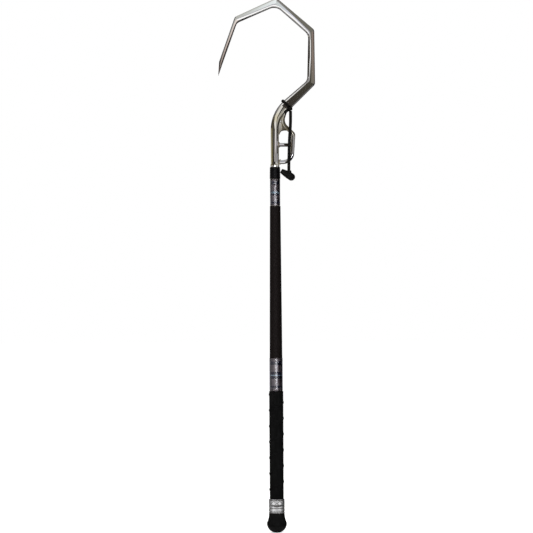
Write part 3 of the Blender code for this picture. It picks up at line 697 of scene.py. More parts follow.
bead_tree, bead_in = recipe("weld_bead", {"Drop": 0.001, "Step": 0.001})
seam = node(bead_tree, "GeometryNodeResampleCurve",
            {"Curve": bead_in["Geometry"], "Length": bead_in["Step"]}, mode="LENGTH")
drop = node(bead_tree, "GeometryNodeMeshIcoSphere", {"Radius": bead_in["Drop"], "Subdivisions": 2})
along = node(bead_tree, "GeometryNodeInputTangent")
turned = node(bead_tree, "FunctionNodeAlignEulerToVector", {"Vector": along.outputs[0]}, axis="Z")
drops = node(bead_tree, "GeometryNodeInstanceOnPoints",
             {"Points": seam.outputs[0], "Instance": drop.outputs[0], "Rotation": turned.outputs[0],
              "Scale": (1.0, 1.0, BEAD_FLATNESS)})
whole = node(bead_tree, "GeometryNodeRealizeInstances", {0: drops.outputs[0]})
smooth = node(bead_tree, "GeometryNodeSetShadeSmooth", {0: whole.outputs[0]})
served(bead_tree, bead_in, smooth.outputs[0])

weld_steel, weld_tree, weld_shader = finish("weld_steel", (0.56, 0.50, 0.36), 0.28, 1.0)
tint = ranged(weld_tree, stretched_noise(weld_tree, (260.0, 260.0, 260.0)), 0.0, 1.0)
weld_colour = mixed(weld_tree, tint, (0.62, 0.58, 0.48), (0.40, 0.33, 0.20))
weld_tree.links.new(weld_colour, weld_shader.inputs["Base Color"])
weld_tree.links.new(ranged(weld_tree, tint, 0.2, 0.4, 0.0, 1.0), weld_shader.inputs["Roughness"])

joints = []
for name, out, bend, half_width, height, half_height in RING_WELDS:
    turns = [2 * math.pi * k / RING_WELD_STEPS for k in range(RING_WELD_STEPS)]
    joint = [Vector((out + bend * math.cos(turn) ** 2, half_width * math.cos(turn),
                     height + half_height * math.sin(turn))) for turn in turns]
    joints.append((name, joint, True))
# The loop's upper end lies along the hook bar, and is welded to it on both faces.
middles = [(out + inn) / 2 for out, inn, depth in stations[len(tang):-POINT_STEPS]]
for name, face in (("front_weld", -1), ("back_weld", 1)):
    seam_line = []
    for spot in flat_path:
        near_by = min(middles, key=lambda middle: (middle - spot).length)
        off = spot - near_by
        reach = (off.length_squared + SHANK_R ** 2 - ROD_R ** 2) / (2 * off.length)
        if TOP_WELD[0] < spot.y < TOP_WELD[1] and reach < SHANK_R:
            at = near_by + off.normalized() * reach
            seam_line.append(Vector((at.x, face * math.sqrt(SHANK_R ** 2 - reach ** 2), at.y)))
    joints.append((name, seam_line, False))
for name, joint, closed in joints:
    bead = cooked(name, bead_tree, weld_steel, line_of(name + "_line", joint, closed), drop=BEAD_R,
                  step=BEAD_STEP)
    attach(bead, "root")

# Shank ring
# A narrow polished ring pushed down the shank on to the collar, with rounded edges. It
# stops the pole's end.
POLE_SIDES = 128
TURNED_SHARP_EDGE = math.radians(38)
STOP_EDGE = 0.0010
STOP_BORE = SHANK_R + 0.0001


def turned_skin(name, outline, finish, sides=POLE_SIDES, closed=True):
    """Turn an outline of (radius, height) points about the pole's axis."""
    shape = bmesh.new()
    spots = [shape.verts.new((r, 0.0, z)) for r, z in outline]
    edges = [shape.edges.new(pair) for pair in zip(spots, spots[1:])]
    if closed:
        edges.append(shape.edges.new((spots[-1], spots[0])))
    bmesh.ops.spin(shape, geom=edges, cent=(0, 0, 0), axis=(0, 0, 1), angle=2 * math.pi, steps=sides,
                   use_merge=True)
    bmesh.ops.remove_doubles(shape, verts=shape.verts, dist=1e-7)
    return meshed(name, shape, finish, TURNED_SHARP_EDGE)


def bow(centre_r, centre_z, radius, first, last, steps=6):
    """Points of an arc in an outline, in degrees above the level."""
    turns = [math.radians(first + (last - first) * k / steps) for k in range(steps + 1)]
    return [(centre_r + radius * math.cos(turn), centre_z + radius * math.sin(turn)) for turn in turns]


ring_low, ring_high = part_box("shank_ring")
outline = [(STOP_BORE, ring_low.z), (ring_high.x - STOP_EDGE, ring_low.z)]
outline += bow(ring_high.x - STOP_EDGE, ring_low.z + STOP_EDGE, STOP_EDGE, -90, 0)
outline += bow(ring_high.x - STOP_EDGE, ring_high.z - STOP_EDGE, STOP_EDGE, 0, 90)
outline += [(STOP_BORE, ring_high.z)]
ring_steel = polished_steel("ring_steel", tint_level=0.84, tint_reach=0.02)
stop_ring = turned_skin("stop_ring", outline, ring_steel)
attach(stop_ring, "root")
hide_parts("shank_ring")

# Collar
# Glossy black shrink tube drawn over the end of the neck. It has shrunk a little
# unevenly, its top edge is rolled in, and fine creases run round it.
COLLAR_BORE = 0.0108
COLLAR_TAPER = 0.0004
COLLAR_FOOT = 0.0006
COLLAR_ROLL = 0.0009
COLLAR_RIPPLE = 0.00006
COLLAR_ROWS = 40

shrink_black, shrink_tree, shrink_shader = finish("shrink_black", (0.0022, 0.0020, 0.0024), 0.2,
                                                  Specular_IOR_Level=0.09)
creases = stretched_noise(shrink_tree, (70.0, 70.0, 620.0), 3.0)
dents = stretched_noise(shrink_tree, (140.0, 140.0, 90.0), 2.0)
bumped(shrink_tree, shrink_shader, maths(shrink_tree, "ADD", creases, dents), 0.00006)
dust = stretched_noise(shrink_tree, (900.0, 900.0, 300.0), 4.0)
shrink_tree.links.new(ranged(shrink_tree, dust, 0.14, 0.30), shrink_shader.inputs["Roughness"])

collar_low, collar_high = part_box("collar")
wall_low = collar_low.z + 0.001
wall = collar_high.z - 0.0015 - wall_low
outline = [(COLLAR_BORE, collar_low.z), (collar_high.x - COLLAR_TAPER, collar_low.z)]
outline += bow(collar_high.x - COLLAR_FOOT, collar_low.z + COLLAR_FOOT, COLLAR_FOOT, -60, 0, 4)
for k in range(1, COLLAR_ROWS):
    share = k / COLLAR_ROWS
    ripple = COLLAR_RIPPLE * math.sin(37 * share) * math.sin(math.pi * share)
    outline.append((collar_high.x - COLLAR_TAPER * share + ripple, wall_low + wall * share))
outline += bow(collar_high.x - COLLAR_TAPER - COLLAR_ROLL, collar_high.z - COLLAR_ROLL, COLLAR_ROLL, 0, 90)
outline += [(COLLAR_BORE, collar_high.z)]
collar_tube = turned_skin("collar_tube", outline, shrink_black)
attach(collar_tube, "root")
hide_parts("collar")

# Thread wraps
# Two long wraps of winding thread, one at each end of the pole: a silver underwrap, and
# over it bands of navy, silver and ice blue thread, each one strand wound turn by turn.
THREAD = 0.00030
THREAD_SIDES = 48
# Each thread's light and dark colour, how metallic it is, and its roughness.
THREAD_COLOURS = {
    "silver": ((0.46, 0.41, 0.43), (0.30, 0.26, 0.29), 0.85, 0.30),
    "navy": ((0.018, 0.018, 0.045), (0.007, 0.008, 0.020), 0.0, 0.35),
    "blue": ((0.42, 0.55, 0.64), (0.26, 0.37, 0.46), 0.5, 0.30),
}

thread_tree, thread_in = recipe("wound_thread", {"Bottom": 0.0, "Length": 0.01, "Radius": 0.01,
                                                 "Thread": 0.0003, "Sides": 48})
run = maths(thread_tree, "SUBTRACT", thread_in["Length"], thread_in["Thread"])
count = maths(thread_tree, "DIVIDE", run, thread_in["Thread"])
winding = node(thread_tree, "GeometryNodeCurveSpiral",
               {"Resolution": thread_in["Sides"], "Rotations": count, "Start Radius": thread_in["Radius"],
                "End Radius": thread_in["Radius"], "Height": run})
plump = maths(thread_tree, "MULTIPLY", thread_in["Thread"], 0.52)
section = node(thread_tree, "GeometryNodeCurvePrimitiveCircle", {"Resolution": 5, "Radius": plump},
               mode="RADIUS")
strand = node(thread_tree, "GeometryNodeCurveToMesh",
              {"Curve": winding.outputs[0], "Profile Curve": section.outputs[0], "Fill Caps": True})
half = maths(thread_tree, "DIVIDE", thread_in["Thread"], 2.0)
start = maths(thread_tree, "ADD", thread_in["Bottom"], half)
lift = node(thread_tree, "ShaderNodeCombineXYZ", {"Z": start})
placed = node(thread_tree, "GeometryNodeTransform",
              {"Geometry": strand.outputs[0], "Translation": lift.outputs[0]})
smooth = node(thread_tree, "GeometryNodeSetShadeSmooth", {0: placed.outputs[0]})
served(thread_tree, thread_in, smooth.outputs[0])

threads = {}
for kind, (light, dark, metallic, roughness) in THREAD_COLOURS.items():
    made, tree, shader = finish(kind + "_thread", light, roughness, metallic)
    turns = stretched_noise(tree, (25.0, 25.0, 1500.0), 2.0)
    glints = stretched_noise(tree, (1400.0, 1400.0, 1400.0), 1.0)
    tree.links.new(mixed(tree, ranged(tree, turns, 0.0, 1.0), dark, light), shader.inputs["Base Color"])
    tree.links.new(ranged(tree, glints, roughness - 0.12, roughness + 0.15), shader.inputs["Roughness"])
    threads[kind] = made

for node_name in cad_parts:
    kind = next((k for k in THREAD_COLOURS if "_%s_band_" % k in node_name), None)
    if node_name.endswith("_underwrap"):
        kind = "silver"
    if kind is None:
        continue
    band_low, band_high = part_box(node_name)
    wound = cooked(node_name.replace("band", "winding").replace("underwrap", "underwinding"), thread_tree,
                   threads[kind], bottom=band_low.z, length=band_high.z - band_low.z,
                   radius=band_high.x - THREAD / 2, thread=THREAD, sides=THREAD_SIDES)
    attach(wound, "root")
    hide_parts(node_name)

# Epoxy coats
# Clear epoxy brushed over each wrap while the pole turned. It levels out over the
# threads and thins to a rounded lip at both ends.
COAT = 0.00012
COAT_LIP = 0.0022
COAT_SEAT = 0.0002
COAT_WAVE = 0.00003
COAT_ROWS = 24
LIP_ROWS = 8
# Real epoxy has about 1.55. The higher index makes so thin a coat mirror enough light.
COAT_INDEX = 1.75

clear_epoxy, coat_tree = empty_material("clear_epoxy")
waves = stretched_noise(coat_tree, (60.0, 60.0, 110.0), 2.0)
level = node(coat_tree, "ShaderNodeBump", {"Height": waves, "Distance": 0.00002, "Strength": 1.0})
gloss = node(coat_tree, "ShaderNodeBsdfGlossy", {"Roughness": 0.11, "Normal": level.outputs[0]})
clear = node(coat_tree, "ShaderNodeBsdfTransparent")
edge_on = node(coat_tree, "ShaderNodeFresnel", {"IOR": COAT_INDEX})
coat = node(coat_tree, "ShaderNodeMixShader",
            {0: edge_on.outputs[0], 1: clear.outputs[0], 2: gloss.outputs[0]})
node(coat_tree, "ShaderNodeOutputMaterial", {"Surface": coat.outputs[0]})

lip_turns = [math.radians(90 * k / LIP_ROWS) for k in range(LIP_ROWS + 1)]
for end in ("upper", "lower"):
    under_low, under_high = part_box(end + "_underwrap")
    base = under_high.x - COAT_SEAT
    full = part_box(end + "_navy_band_1")[1].x + COAT
    outline = [(base, under_low.z)]
    outline += [(base + (full - base) * math.sin(turn), under_low.z + COAT_LIP * (1 - math.cos(turn)))
                for turn in lip_turns[1:]]
    for k in range(1, COAT_ROWS):
        share = k / COAT_ROWS
        outline.append((full - COAT_WAVE * math.sin(share * 40) ** 2,
                        under_low.z + COAT_LIP + (under_high.z - under_low.z - 2 * COAT_LIP) * share))
    outline += [(base + (full - base) * math.cos(turn), under_high.z - COAT_LIP * (1 - math.sin(turn)))
                for turn in lip_turns]
    coat_skin = turned_skin(end + "_epoxy_coat", outline, clear_epoxy, closed=False)
    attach(coat_skin, "root")

# Pole
# A tapered hollow glass fibre tube, wound on a mandrel, then lacquered satin black. Faint
# spiral marks of the winding tape show through the lacquer.
BLANK_COLOUR = (0.0050, 0.0036, 0.0034)
TAPE_PITCH = 0.0125


def worn(tree, shader, cloud, roughness, colours, turning):
    """Vary roughness and colour by one noise, the colour between two values of it."""
    tree.links.new(ranged(tree, cloud, *roughness), shader.inputs["Roughness"])
    share = ranged(tree, cloud, 0.0, 1.0, *turning)
    tree.links.new(mixed(tree, share, *colours), shader.inputs["Base Color"])


blank_black, blank_tree, blank_shader = finish("blank_black", BLANK_COLOUR, 0.5, Specular_IOR_Level=0.045)
spots = node(blank_tree, "ShaderNodeTexCoord").outputs["Object"]
place = node(blank_tree, "ShaderNodeSeparateXYZ", {0: spots}).outputs
turn = maths(blank_tree, "ARCTAN2", place["Y"], place["X"])
climb = maths(blank_tree, "MULTIPLY", place["Z"], 2 * math.pi / TAPE_PITCH)
phase = maths(blank_tree, "MULTIPLY", maths(blank_tree, "ADD", climb, turn), 0.5)
tape = maths(blank_tree, "ABSOLUTE", maths(blank_tree, "SINE", phase))
ridges = maths(blank_tree, "MULTIPLY", maths(blank_tree, "POWER", tape, 0.3), 4.0)
orange_peel = stretched_noise(blank_tree, (900.0, 900.0, 900.0), 3.0)
bumped(blank_tree, blank_shader, maths(blank_tree, "ADD", ridges, orange_peel), 0.000012)
scuffs = stretched_noise(blank_tree, (260.0, 260.0, 22.0), 6.0, 0.66)
worn(blank_tree, blank_shader, scuffs, (0.42, 0.62), (BLANK_COLOUR, (0.010, 0.008, 0.008)), (0.55, 0.85))

SHOULDER_Z = 0.3931
SEAT_R = 0.0140
SHOULDER_R = 0.01425
BORE_R = 0.0126
TOP_R = 0.01195
POLE_EDGE = 0.0006
POLE_ROWS = 60
blank_low, blank_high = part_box("blank")
neck_low, neck_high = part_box("neck_tube")
mouth = neck_high.x + 0.0003
outline = [(mouth, blank_high.z), (mouth, neck_low.z - 0.002), (BORE_R, SHOULDER_Z), (BORE_R, blank_low.z),
           (SEAT_R, blank_low.z), (SEAT_R, SHOULDER_Z)]
outline += bow(SHOULDER_R - POLE_EDGE, SHOULDER_Z + POLE_EDGE, POLE_EDGE, -60, 0, 4)
outline += [(SHOULDER_R + (TOP_R - SHOULDER_R) * k / POLE_ROWS,
             SHOULDER_Z + (blank_high.z - SHOULDER_Z) * k / POLE_ROWS) for k in range(1, POLE_ROWS)]
outline += bow(TOP_R - POLE_EDGE, blank_high.z - POLE_EDGE, POLE_EDGE, 0, 90, 5)
pole_tube = turned_skin("pole_tube", outline, blank_black)
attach(pole_tube, "root")
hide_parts("blank")

# Grip
# A ribbed rubber sleeve shrunk over the pole. A fine diamond pattern is pressed into it,
# and its top end flares a little where it was cut.
GRIP_TOP_R = 0.01575
GRIP_LOW_R = 0.01550
GRIP_CELLS = 12
GRIP_SIDES = 168
GRIP_ROWS = 372
GRIP_RELIEF = 0.00016
GRIP_EDGE = 0.0008
GRIP_COLOUR = (0.0026, 0.0026, 0.0026)
GRIP_BLOOM = (0.0050, 0.0050, 0.0050)


def crossed(tree, turn, climb):
    """The sizes of two waves that lean to the left and to the right."""
    waves = [maths(tree, "SINE", maths(tree, way, turn, climb)) for way in ("ADD", "SUBTRACT")]
    return [maths(tree, "ABSOLUTE", wave) for wave in waves]


def pushed_out(tree, geometry, by):
    """Move every point of a geometry out along its normal."""
    normal = node(tree, "GeometryNodeInputNormal").outputs[0]
    outward = node(tree, "ShaderNodeVectorMath", {0: normal, "Scale": by}, operation="SCALE")
    moved = node(tree, "GeometryNodeSetPosition", {"Geometry": geometry, "Offset": outward.outputs[0]})
    return moved.outputs[0]


relief_tree, relief_in = recipe("diamond_relief", {"Cells": 12, "Cell Height": 0.004, "Depth": 0.0002,
                                                   "Groove": 0.4, "Low": 0.0, "High": 1.0})
where = node(relief_tree, "GeometryNodeInputPosition").outputs[0]
spot = node(relief_tree, "ShaderNodeSeparateXYZ", {0: where}).outputs
turn = maths(relief_tree, "ARCTAN2", spot["Y"], spot["X"])
round_it = maths(relief_tree, "MULTIPLY", turn, relief_in["Cells"])
climb = maths(relief_tree, "MULTIPLY", spot["Z"], math.pi)
up_it = maths(relief_tree, "DIVIDE", climb, relief_in["Cell Height"])
nearest = maths(relief_tree, "MINIMUM", *crossed(relief_tree, round_it, up_it))
rise = node(relief_tree, "ShaderNodeMapRange",
            {"Value": nearest, "From Max": relief_in["Groove"], "To Max": relief_in["Depth"]},
            interpolation_type="SMOOTHSTEP")
above = maths(relief_tree, "GREATER_THAN", spot["Z"], relief_in["Low"])
below = maths(relief_tree, "LESS_THAN", spot["Z"], relief_in["High"])
inside = maths(relief_tree, "MULTIPLY", above, below)
pressed = maths(relief_tree, "MULTIPLY", rise.outputs["Result"], inside)
served(relief_tree, relief_in, pushed_out(relief_tree, relief_in["Geometry"], pressed))

grip_black, grip_tree, grip_shader = finish("grip_black", (0.0028, 0.0028, 0.0028), 0.82,
                                            Specular_IOR_Level=0.035)
grain = stretched_noise(grip_tree, (2600.0, 2600.0, 2600.0), 2.0)
bloom = stretched_noise(grip_tree, (120.0, 120.0, 45.0), 5.0)
bumped(grip_tree, grip_shader, grain, 0.00003)
worn(grip_tree, grip_shader, bloom, (0.72, 0.92), (GRIP_COLOUR, GRIP_BLOOM), (0.45, 0.8))

grip_low, grip_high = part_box("grip_sleeve")
grip_in = SEAT_R + 0.0002


def grip_radius(z):
    share = (z - grip_low.z) / (grip_high.z - grip_low.z)
    return GRIP_LOW_R + (GRIP_TOP_R - GRIP_LOW_R) * share


outline = [(grip_in, grip_low.z)]
outline += bow(GRIP_LOW_R - GRIP_EDGE, grip_low.z + GRIP_EDGE, GRIP_EDGE, -90, 0, 4)
wall = grip_high.z - grip_low.z - 0.0055
for k in range(GRIP_ROWS + 1):
    z = grip_low.z + 0.001 + wall * k / GRIP_ROWS
    outline.append((grip_radius(z), z))
# The flared top end.
outline += [(GRIP_TOP_R + 0.0003, grip_high.z - 0.0022), (GRIP_TOP_R + 0.00025, grip_high.z - 0.0009),
            (GRIP_TOP_R - 0.0003, grip_high.z), (grip_in, grip_high.z)]
plain_sleeve = turned_skin("plain_sleeve", outline, grip_black, sides=GRIP_SIDES)
grip_skin = cooked("grip_skin", relief_tree, grip_black, plain_sleeve, cells=GRIP_CELLS,
                   cell_height=math.pi * GRIP_LOW_R / GRIP_CELLS, depth=GRIP_RELIEF, groove=0.42,
                   low=grip_low.z + 0.002, high=grip_high.z - 0.006)
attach(grip_skin, "root")
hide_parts("grip_sleeve")

# Grip rib
# The raised spiral of the grip: a cord under the shrunk rubber, so its sides run out
# into the sleeve in a soft curve, and both its ends taper away.
RIB_PITCH = 0.0356
RIB_TURNS = 6.6
RIB_START_Z = 0.0790
RIB_WIDTH = 0.0088
RIB_HEIGHT = 0.00128
RIB_STEPS = 96
RIB_PROFILE = 18
RIB_FADE = 12
RIB_ROOT = 0.0004

last = round(RIB_TURNS * RIB_STEPS)
rings = []
for k in range(last + 1):
    turn = 2 * math.pi * k / RIB_STEPS
    z = RIB_START_Z + RIB_PITCH * k / RIB_STEPS
    fade = math.sin(min(1.0, min(k, last - k) / RIB_FADE) * math.pi / 2)
    ring = []
    for j in range(RIB_PROFILE + 1):
        across = -1 + 2 * j / RIB_PROFILE
        height = z + across * RIB_WIDTH / 2
        out = grip_radius(height) + RIB_HEIGHT * fade * math.cos(across * math.pi / 2) ** 2
        ring.append((out * math.cos(turn), out * math.sin(turn), height))
    for across in (0.9, -0.9):
        height = z + across * RIB_WIDTH / 2
        inside = grip_radius(height) - RIB_ROOT
        ring.append((inside * math.cos(turn), inside * math.sin(turn), height))
    rings.append(ring)
grip_spiral = skin("grip_spiral", rings, grip_black)
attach(grip_spiral, "root")
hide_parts("grip_rib")

# Butt ring
# A bright aluminium ring turned in a lathe: a band of crossing cuts at the top, two
# rounded grooves below it, and a spigot that goes down into the rubber cap.
RING_R = 0.0176
RING_EDGE = 0.0006
FLANGE_Z = 0.0433
FLANGE_EDGE = 0.0002
GROOVES = [(0.0550, 0.0012), (0.0473, 0.0010)]
GROOVE_DEPTH = 0.0007
SPIGOT_R = 0.0142
SPIGOT_BORE = 0.0105
# The wall between the pole's seat and the bore of the spigot, and the hole in it.
WALL = (0.0400, 0.0463)
WALL_HOLE_R = 0.006
KNURL = (0.0622, 0.0722)
KNURL_DEPTH = 0.00032
KNURL_CUT = 0.16
KNURL_CELLS = 4
KNURL_CELL_HEIGHT = 0.00946
KNURL_ROWS = 30
KNURL_SIDES = 432
ALUMINIUM = (0.80, 0.80, 0.81)

turned_metal, metal_tree, metal_shader = finish("turned_aluminium", ALUMINIUM, 0.22, 1.0)
cuts = stretched_noise(metal_tree, (4.0, 4.0, 5200.0), 3.0, 0.6)
rubs = stretched_noise(metal_tree, (130.0, 130.0, 130.0), 5.0)
bumped(metal_tree, metal_shader, cuts, 0.000003)
worn(metal_tree, metal_shader, rubs, (0.12, 0.24), (ALUMINIUM, (0.62, 0.62, 0.63)), (0.5, 0.8))

butt_low, butt_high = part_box("butt_ring")
seat_bore = SEAT_R + 0.0002
outline = [(seat_bore, butt_high.z)]
outline += bow(RING_R - RING_EDGE, butt_high.z - RING_EDGE, RING_EDGE, 90, 0, 5)
outline += [(RING_R, KNURL[1] + 0.0012), (RING_R - KNURL_DEPTH, KNURL[1] + 0.0004),
            (RING_R - KNURL_DEPTH, KNURL[0] - 0.0004), (RING_R, KNURL[0] - 0.0012)]
for middle, half in GROOVES:
    turns = [math.radians(18 * j) for j in range(11)]
    outline += [(RING_R - GROOVE_DEPTH * math.sin(turn), middle + half * math.cos(turn)) for turn in turns]
outline += bow(RING_R - FLANGE_EDGE, FLANGE_Z + FLANGE_EDGE, FLANGE_EDGE, 0, -90, 5)
outline += [(SPIGOT_R, FLANGE_Z), (SPIGOT_R, butt_low.z + 0.001), (SPIGOT_R - 0.001, butt_low.z),
            (SPIGOT_BORE, butt_low.z), (SPIGOT_BORE, WALL[0]), (WALL_HOLE_R, WALL[0]),
            (WALL_HOLE_R, WALL[1]), (seat_bore, WALL[1])]
ring_body = turned_skin("ring_body", outline, turned_metal)
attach(ring_body, "root")
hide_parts("butt_ring")

low, high = KNURL
floor_r = RING_R - KNURL_DEPTH - 0.00002
outline = [(floor_r, low + (high - low) * k / KNURL_ROWS) for k in range(KNURL_ROWS + 1)]
outline += [(floor_r - 0.0005, high), (floor_r - 0.0005, low)]
plain_band = turned_skin("plain_band", outline, turned_metal, sides=KNURL_SIDES)
knurl_band = cooked("knurl_band", relief_tree, turned_metal, plain_band, cells=KNURL_CELLS,
                    cell_height=KNURL_CELL_HEIGHT, depth=KNURL_DEPTH, groove=KNURL_CUT,
                    low=low + 0.0001, high=high - 0.0001)
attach(knurl_band, "root")

# Butt cap
# Moulded black rubber pressed on the spigot: a waisted neck and a rounded end with a
# small flat. A fine line round its widest place is where the mould parted.
BULB_R = 0.0223
BULB_Z = 0.0196
BULB_DROP = 0.0204
BULB_ROWS = 32
MOULD_LINE = 0.0001
CAP_NECK = [(0.0223, 0.0196), (0.0221, 0.0226), (0.0204, 0.0268), (0.0191, 0.0313), (0.0182, 0.0358),
            (0.0177, 0.0400), (0.0176, 0.0424)]
CAP_TOP = 0.0430
CAP_EDGE = 0.0006
SOCKET_BOTTOM = 0.015
CAP_COLOUR = (0.0034, 0.0034, 0.0034)
CAP_HANDLED = (0.0070, 0.0070, 0.0070)

cap_rubber, cap_tree, cap_shader = finish("cap_rubber", (0.0032, 0.0032, 0.0032), 0.5,
                                          Specular_IOR_Level=0.06)
stipple = stretched_noise(cap_tree, (1500.0, 1500.0, 1500.0), 2.0)
handled = stretched_noise(cap_tree, (80.0, 80.0, 80.0), 6.0, 0.62)
bumped(cap_tree, cap_shader, stipple, 0.00004)
worn(cap_tree, cap_shader, handled, (0.45, 0.72), (CAP_COLOUR, CAP_HANDLED), (0.5, 0.8))


def smooth_run(points, per_span):
    """Points of a smooth curve through the given ones."""
    ends = [2 * points[0] - points[1]] + points + [2 * points[-1] - points[-2]]
    run = []
    for a, b, c, d in zip(ends, ends[1:], ends[2:], ends[3:]):
        for k in range(per_span):
            t = k / per_span
            run.append(0.5 * (2 * b + (c - a) * t + (2 * a - 5 * b + 4 * c - d) * t * t
                              + (3 * b - a - 3 * c + d) * t ** 3))
    run.append(points[-1])
    return run


lowest = math.degrees(math.asin(BULB_Z / BULB_DROP))
outline = [(0.0, 0.0)]
for k in range(BULB_ROWS + 1):
    turn = math.radians(-lowest * (1 - k / BULB_ROWS))
    outline.append((BULB_R * math.cos(turn), BULB_Z + BULB_DROP * math.sin(turn)))
outline += [(BULB_R + MOULD_LINE, BULB_Z + 0.0001), (BULB_R + MOULD_LINE, BULB_Z + 0.0003),
            (BULB_R, BULB_Z + 0.0004)]
neck = smooth_run([Vector(spot) for spot in CAP_NECK], 6)
outline += [(spot.x, spot.y) for spot in neck[3:]]
outline += bow(RING_R - CAP_EDGE, CAP_TOP - CAP_EDGE, CAP_EDGE, 10, 90, 4)
outline += [(SPIGOT_R + 0.0003, CAP_TOP), (SPIGOT_R + 0.0003, SOCKET_BOTTOM), (0.0, SOCKET_BOTTOM)]
rubber_cap = turned_skin("rubber_cap", outline, cap_rubber, closed=False)
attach(rubber_cap, "root")
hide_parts("butt_cap")

# Hidden pieces
# The neck tube of bare glass fibre, the two steel pins through it and the tang, and the
# cork that closes the butt end of the pole keep the shapes of the frame.
bare_fibre, fibre_tree, fibre_shader = finish("bare_fibre", (0.20, 0.19, 0.15), 0.5)
cloth = stretched_noise(fibre_tree, (700.0, 700.0, 60.0), 4.0)
weave = mixed(fibre_tree, ranged(fibre_tree, cloth, 0.0, 1.0), (0.26, 0.25, 0.19), (0.13, 0.12, 0.09))
fibre_tree.links.new(weave, fibre_shader.inputs["Base Color"])
bumped(fibre_tree, fibre_shader, cloth, 0.00005)
cork, cork_tree, cork_shader = finish("cork", (0.42, 0.27, 0.15), 0.85)
crumbs = stretched_noise(cork_tree, (420.0, 420.0, 420.0), 5.0, 0.7)
grain = ranged(cork_tree, crumbs, 0.0, 1.0, 0.4, 0.62)
cork_colour = mixed(cork_tree, grain, (0.16, 0.09, 0.05), (0.48, 0.32, 0.18))
cork_tree.links.new(cork_colour, cork_shader.inputs["Base Color"])
bumped(cork_tree, cork_shader, crumbs, 0.0003)
pin_steel = polished_steel("pin_steel", tint_level=0.80, tint_reach=0.01)
HIDDEN = {"neck_tube": bare_fibre, "butt_plug": cork, "tang_pin_upper": pin_steel,
          "tang_pin_lower": pin_steel}
for node_name, made in HIDDEN.items():
    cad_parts[node_name].material_slots[0].material = made

# Tether cord
# A round elastic cord with a woven black sheath. It hangs straight down from its knot
# on the hook, 135 mm to the point guard, past the outer side of the loop.
CORD_R = 0.0035
CORD_ROUTE = [(0.0355, -0.0128, 0.9474), (0.0355, -0.0127, 0.9300), (0.0348, -0.0124, 0.9100),
              (0.0332, -0.0122, 0.8890), (0.0321, -0.0121, 0.8660), (0.0314, -0.0120, 0.8410),
              (0.0310, -0.0120, 0.8124)]
SHEATH_RELIEF = 0.00016

sheath_tree, sheath_in = recipe("woven_sheath", {"Radius": 0.0035, "Strands": 12, "Lay": 0.004,
                                                 "Relief": 0.0001, "Step": 0.0005, "Sides": 72})


def noted(curve, measure, label):
    """Keep a measure along a curve for the mesh that is made from it."""
    value = node(sheath_tree, "GeometryNodeSplineParameter").outputs[measure]
    kept = node(sheath_tree, "GeometryNodeCaptureAttribute", {"Geometry": curve.outputs[0]})
    kept.capture_items.new("FLOAT", label)
    sheath_tree.links.new(value, kept.inputs[label])
    return kept.outputs


route = node(sheath_tree, "GeometryNodeResampleCurve",
             {"Curve": sheath_in["Geometry"], "Length": sheath_in["Step"]}, mode="LENGTH")
far = noted(route, "Length", "Gone")
loop = node(sheath_tree, "GeometryNodeCurvePrimitiveCircle",
            {"Resolution": sheath_in["Sides"], "Radius": sheath_in["Radius"]}, mode="RADIUS")
about = noted(loop, "Factor", "Share")
tube = node(sheath_tree, "GeometryNodeCurveToMesh",
            {"Curve": far["Geometry"], "Profile Curve": about["Geometry"], "Fill Caps": True})
half_turns = maths(sheath_tree, "MULTIPLY", sheath_in["Strands"], math.pi)
angle = maths(sheath_tree, "MULTIPLY", about["Share"], half_turns)
climb = maths(sheath_tree, "MULTIPLY", far["Gone"], 2 * math.pi)
climb = maths(sheath_tree, "DIVIDE", climb, sheath_in["Lay"])
weave = maths(sheath_tree, "MULTIPLY", *crossed(sheath_tree, angle, climb))
weave = maths(sheath_tree, "MULTIPLY", weave, sheath_in["Relief"])
sunk = maths(sheath_tree, "SUBTRACT", weave, sheath_in["Relief"])
woven = pushed_out(sheath_tree, tube.outputs[0], sunk)
smooth = node(sheath_tree, "GeometryNodeSetShadeSmooth", {0: woven})
served(sheath_tree, sheath_in, smooth.outputs[0])

cord_black, cord_tree, cord_shader = finish("cord_black", (0.0034, 0.0033, 0.0030), 0.72,
                                            Specular_IOR_Level=0.05)
fibres = stretched_noise(cord_tree, (3200.0, 3200.0, 1400.0), 3.0)
fuzz = stretched_noise(cord_tree, (300.0, 300.0, 120.0), 4.0)
bumped(cord_tree, cord_shader, fibres, 0.00005)
worn_share = ranged(cord_tree, fuzz, 0.0, 1.0, 0.35, 0.75)
cord_colour = mixed(cord_tree, worn_share, (0.0032, 0.0031, 0.0028), (0.0068, 0.0064, 0.0058))
cord_tree.links.new(cord_colour, cord_shader.inputs["Base Color"])
cord_tree.links.new(ranged(cord_tree, fibres, 0.6, 0.85), cord_shader.inputs["Roughness"])

cord_path = smooth_run([Vector(spot) for spot in CORD_ROUTE], 8)
tether = cooked("tether", sheath_tree, cord_black, line_of("tether_line", cord_path), radius=CORD_R,
                strands=12, lay=0.0062, relief=SHEATH_RELIEF, step=0.0005, sides=72)
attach(tether, "tether")
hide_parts("tether_cord")

# Tether knot
# The cord is drawn thin and tied off in a barrel knot: it comes out at the top, winds
# down round itself and is tucked in again below.
KNOT_CENTRE = Vector((0.0352, -0.0128, 0.9528))
KNOT_STRAND = 0.00155
KNOT_COIL = 0.00315
KNOT_RISE = 0.0030
KNOT_TURNS = 2.25
KNOT_STEPS = 45

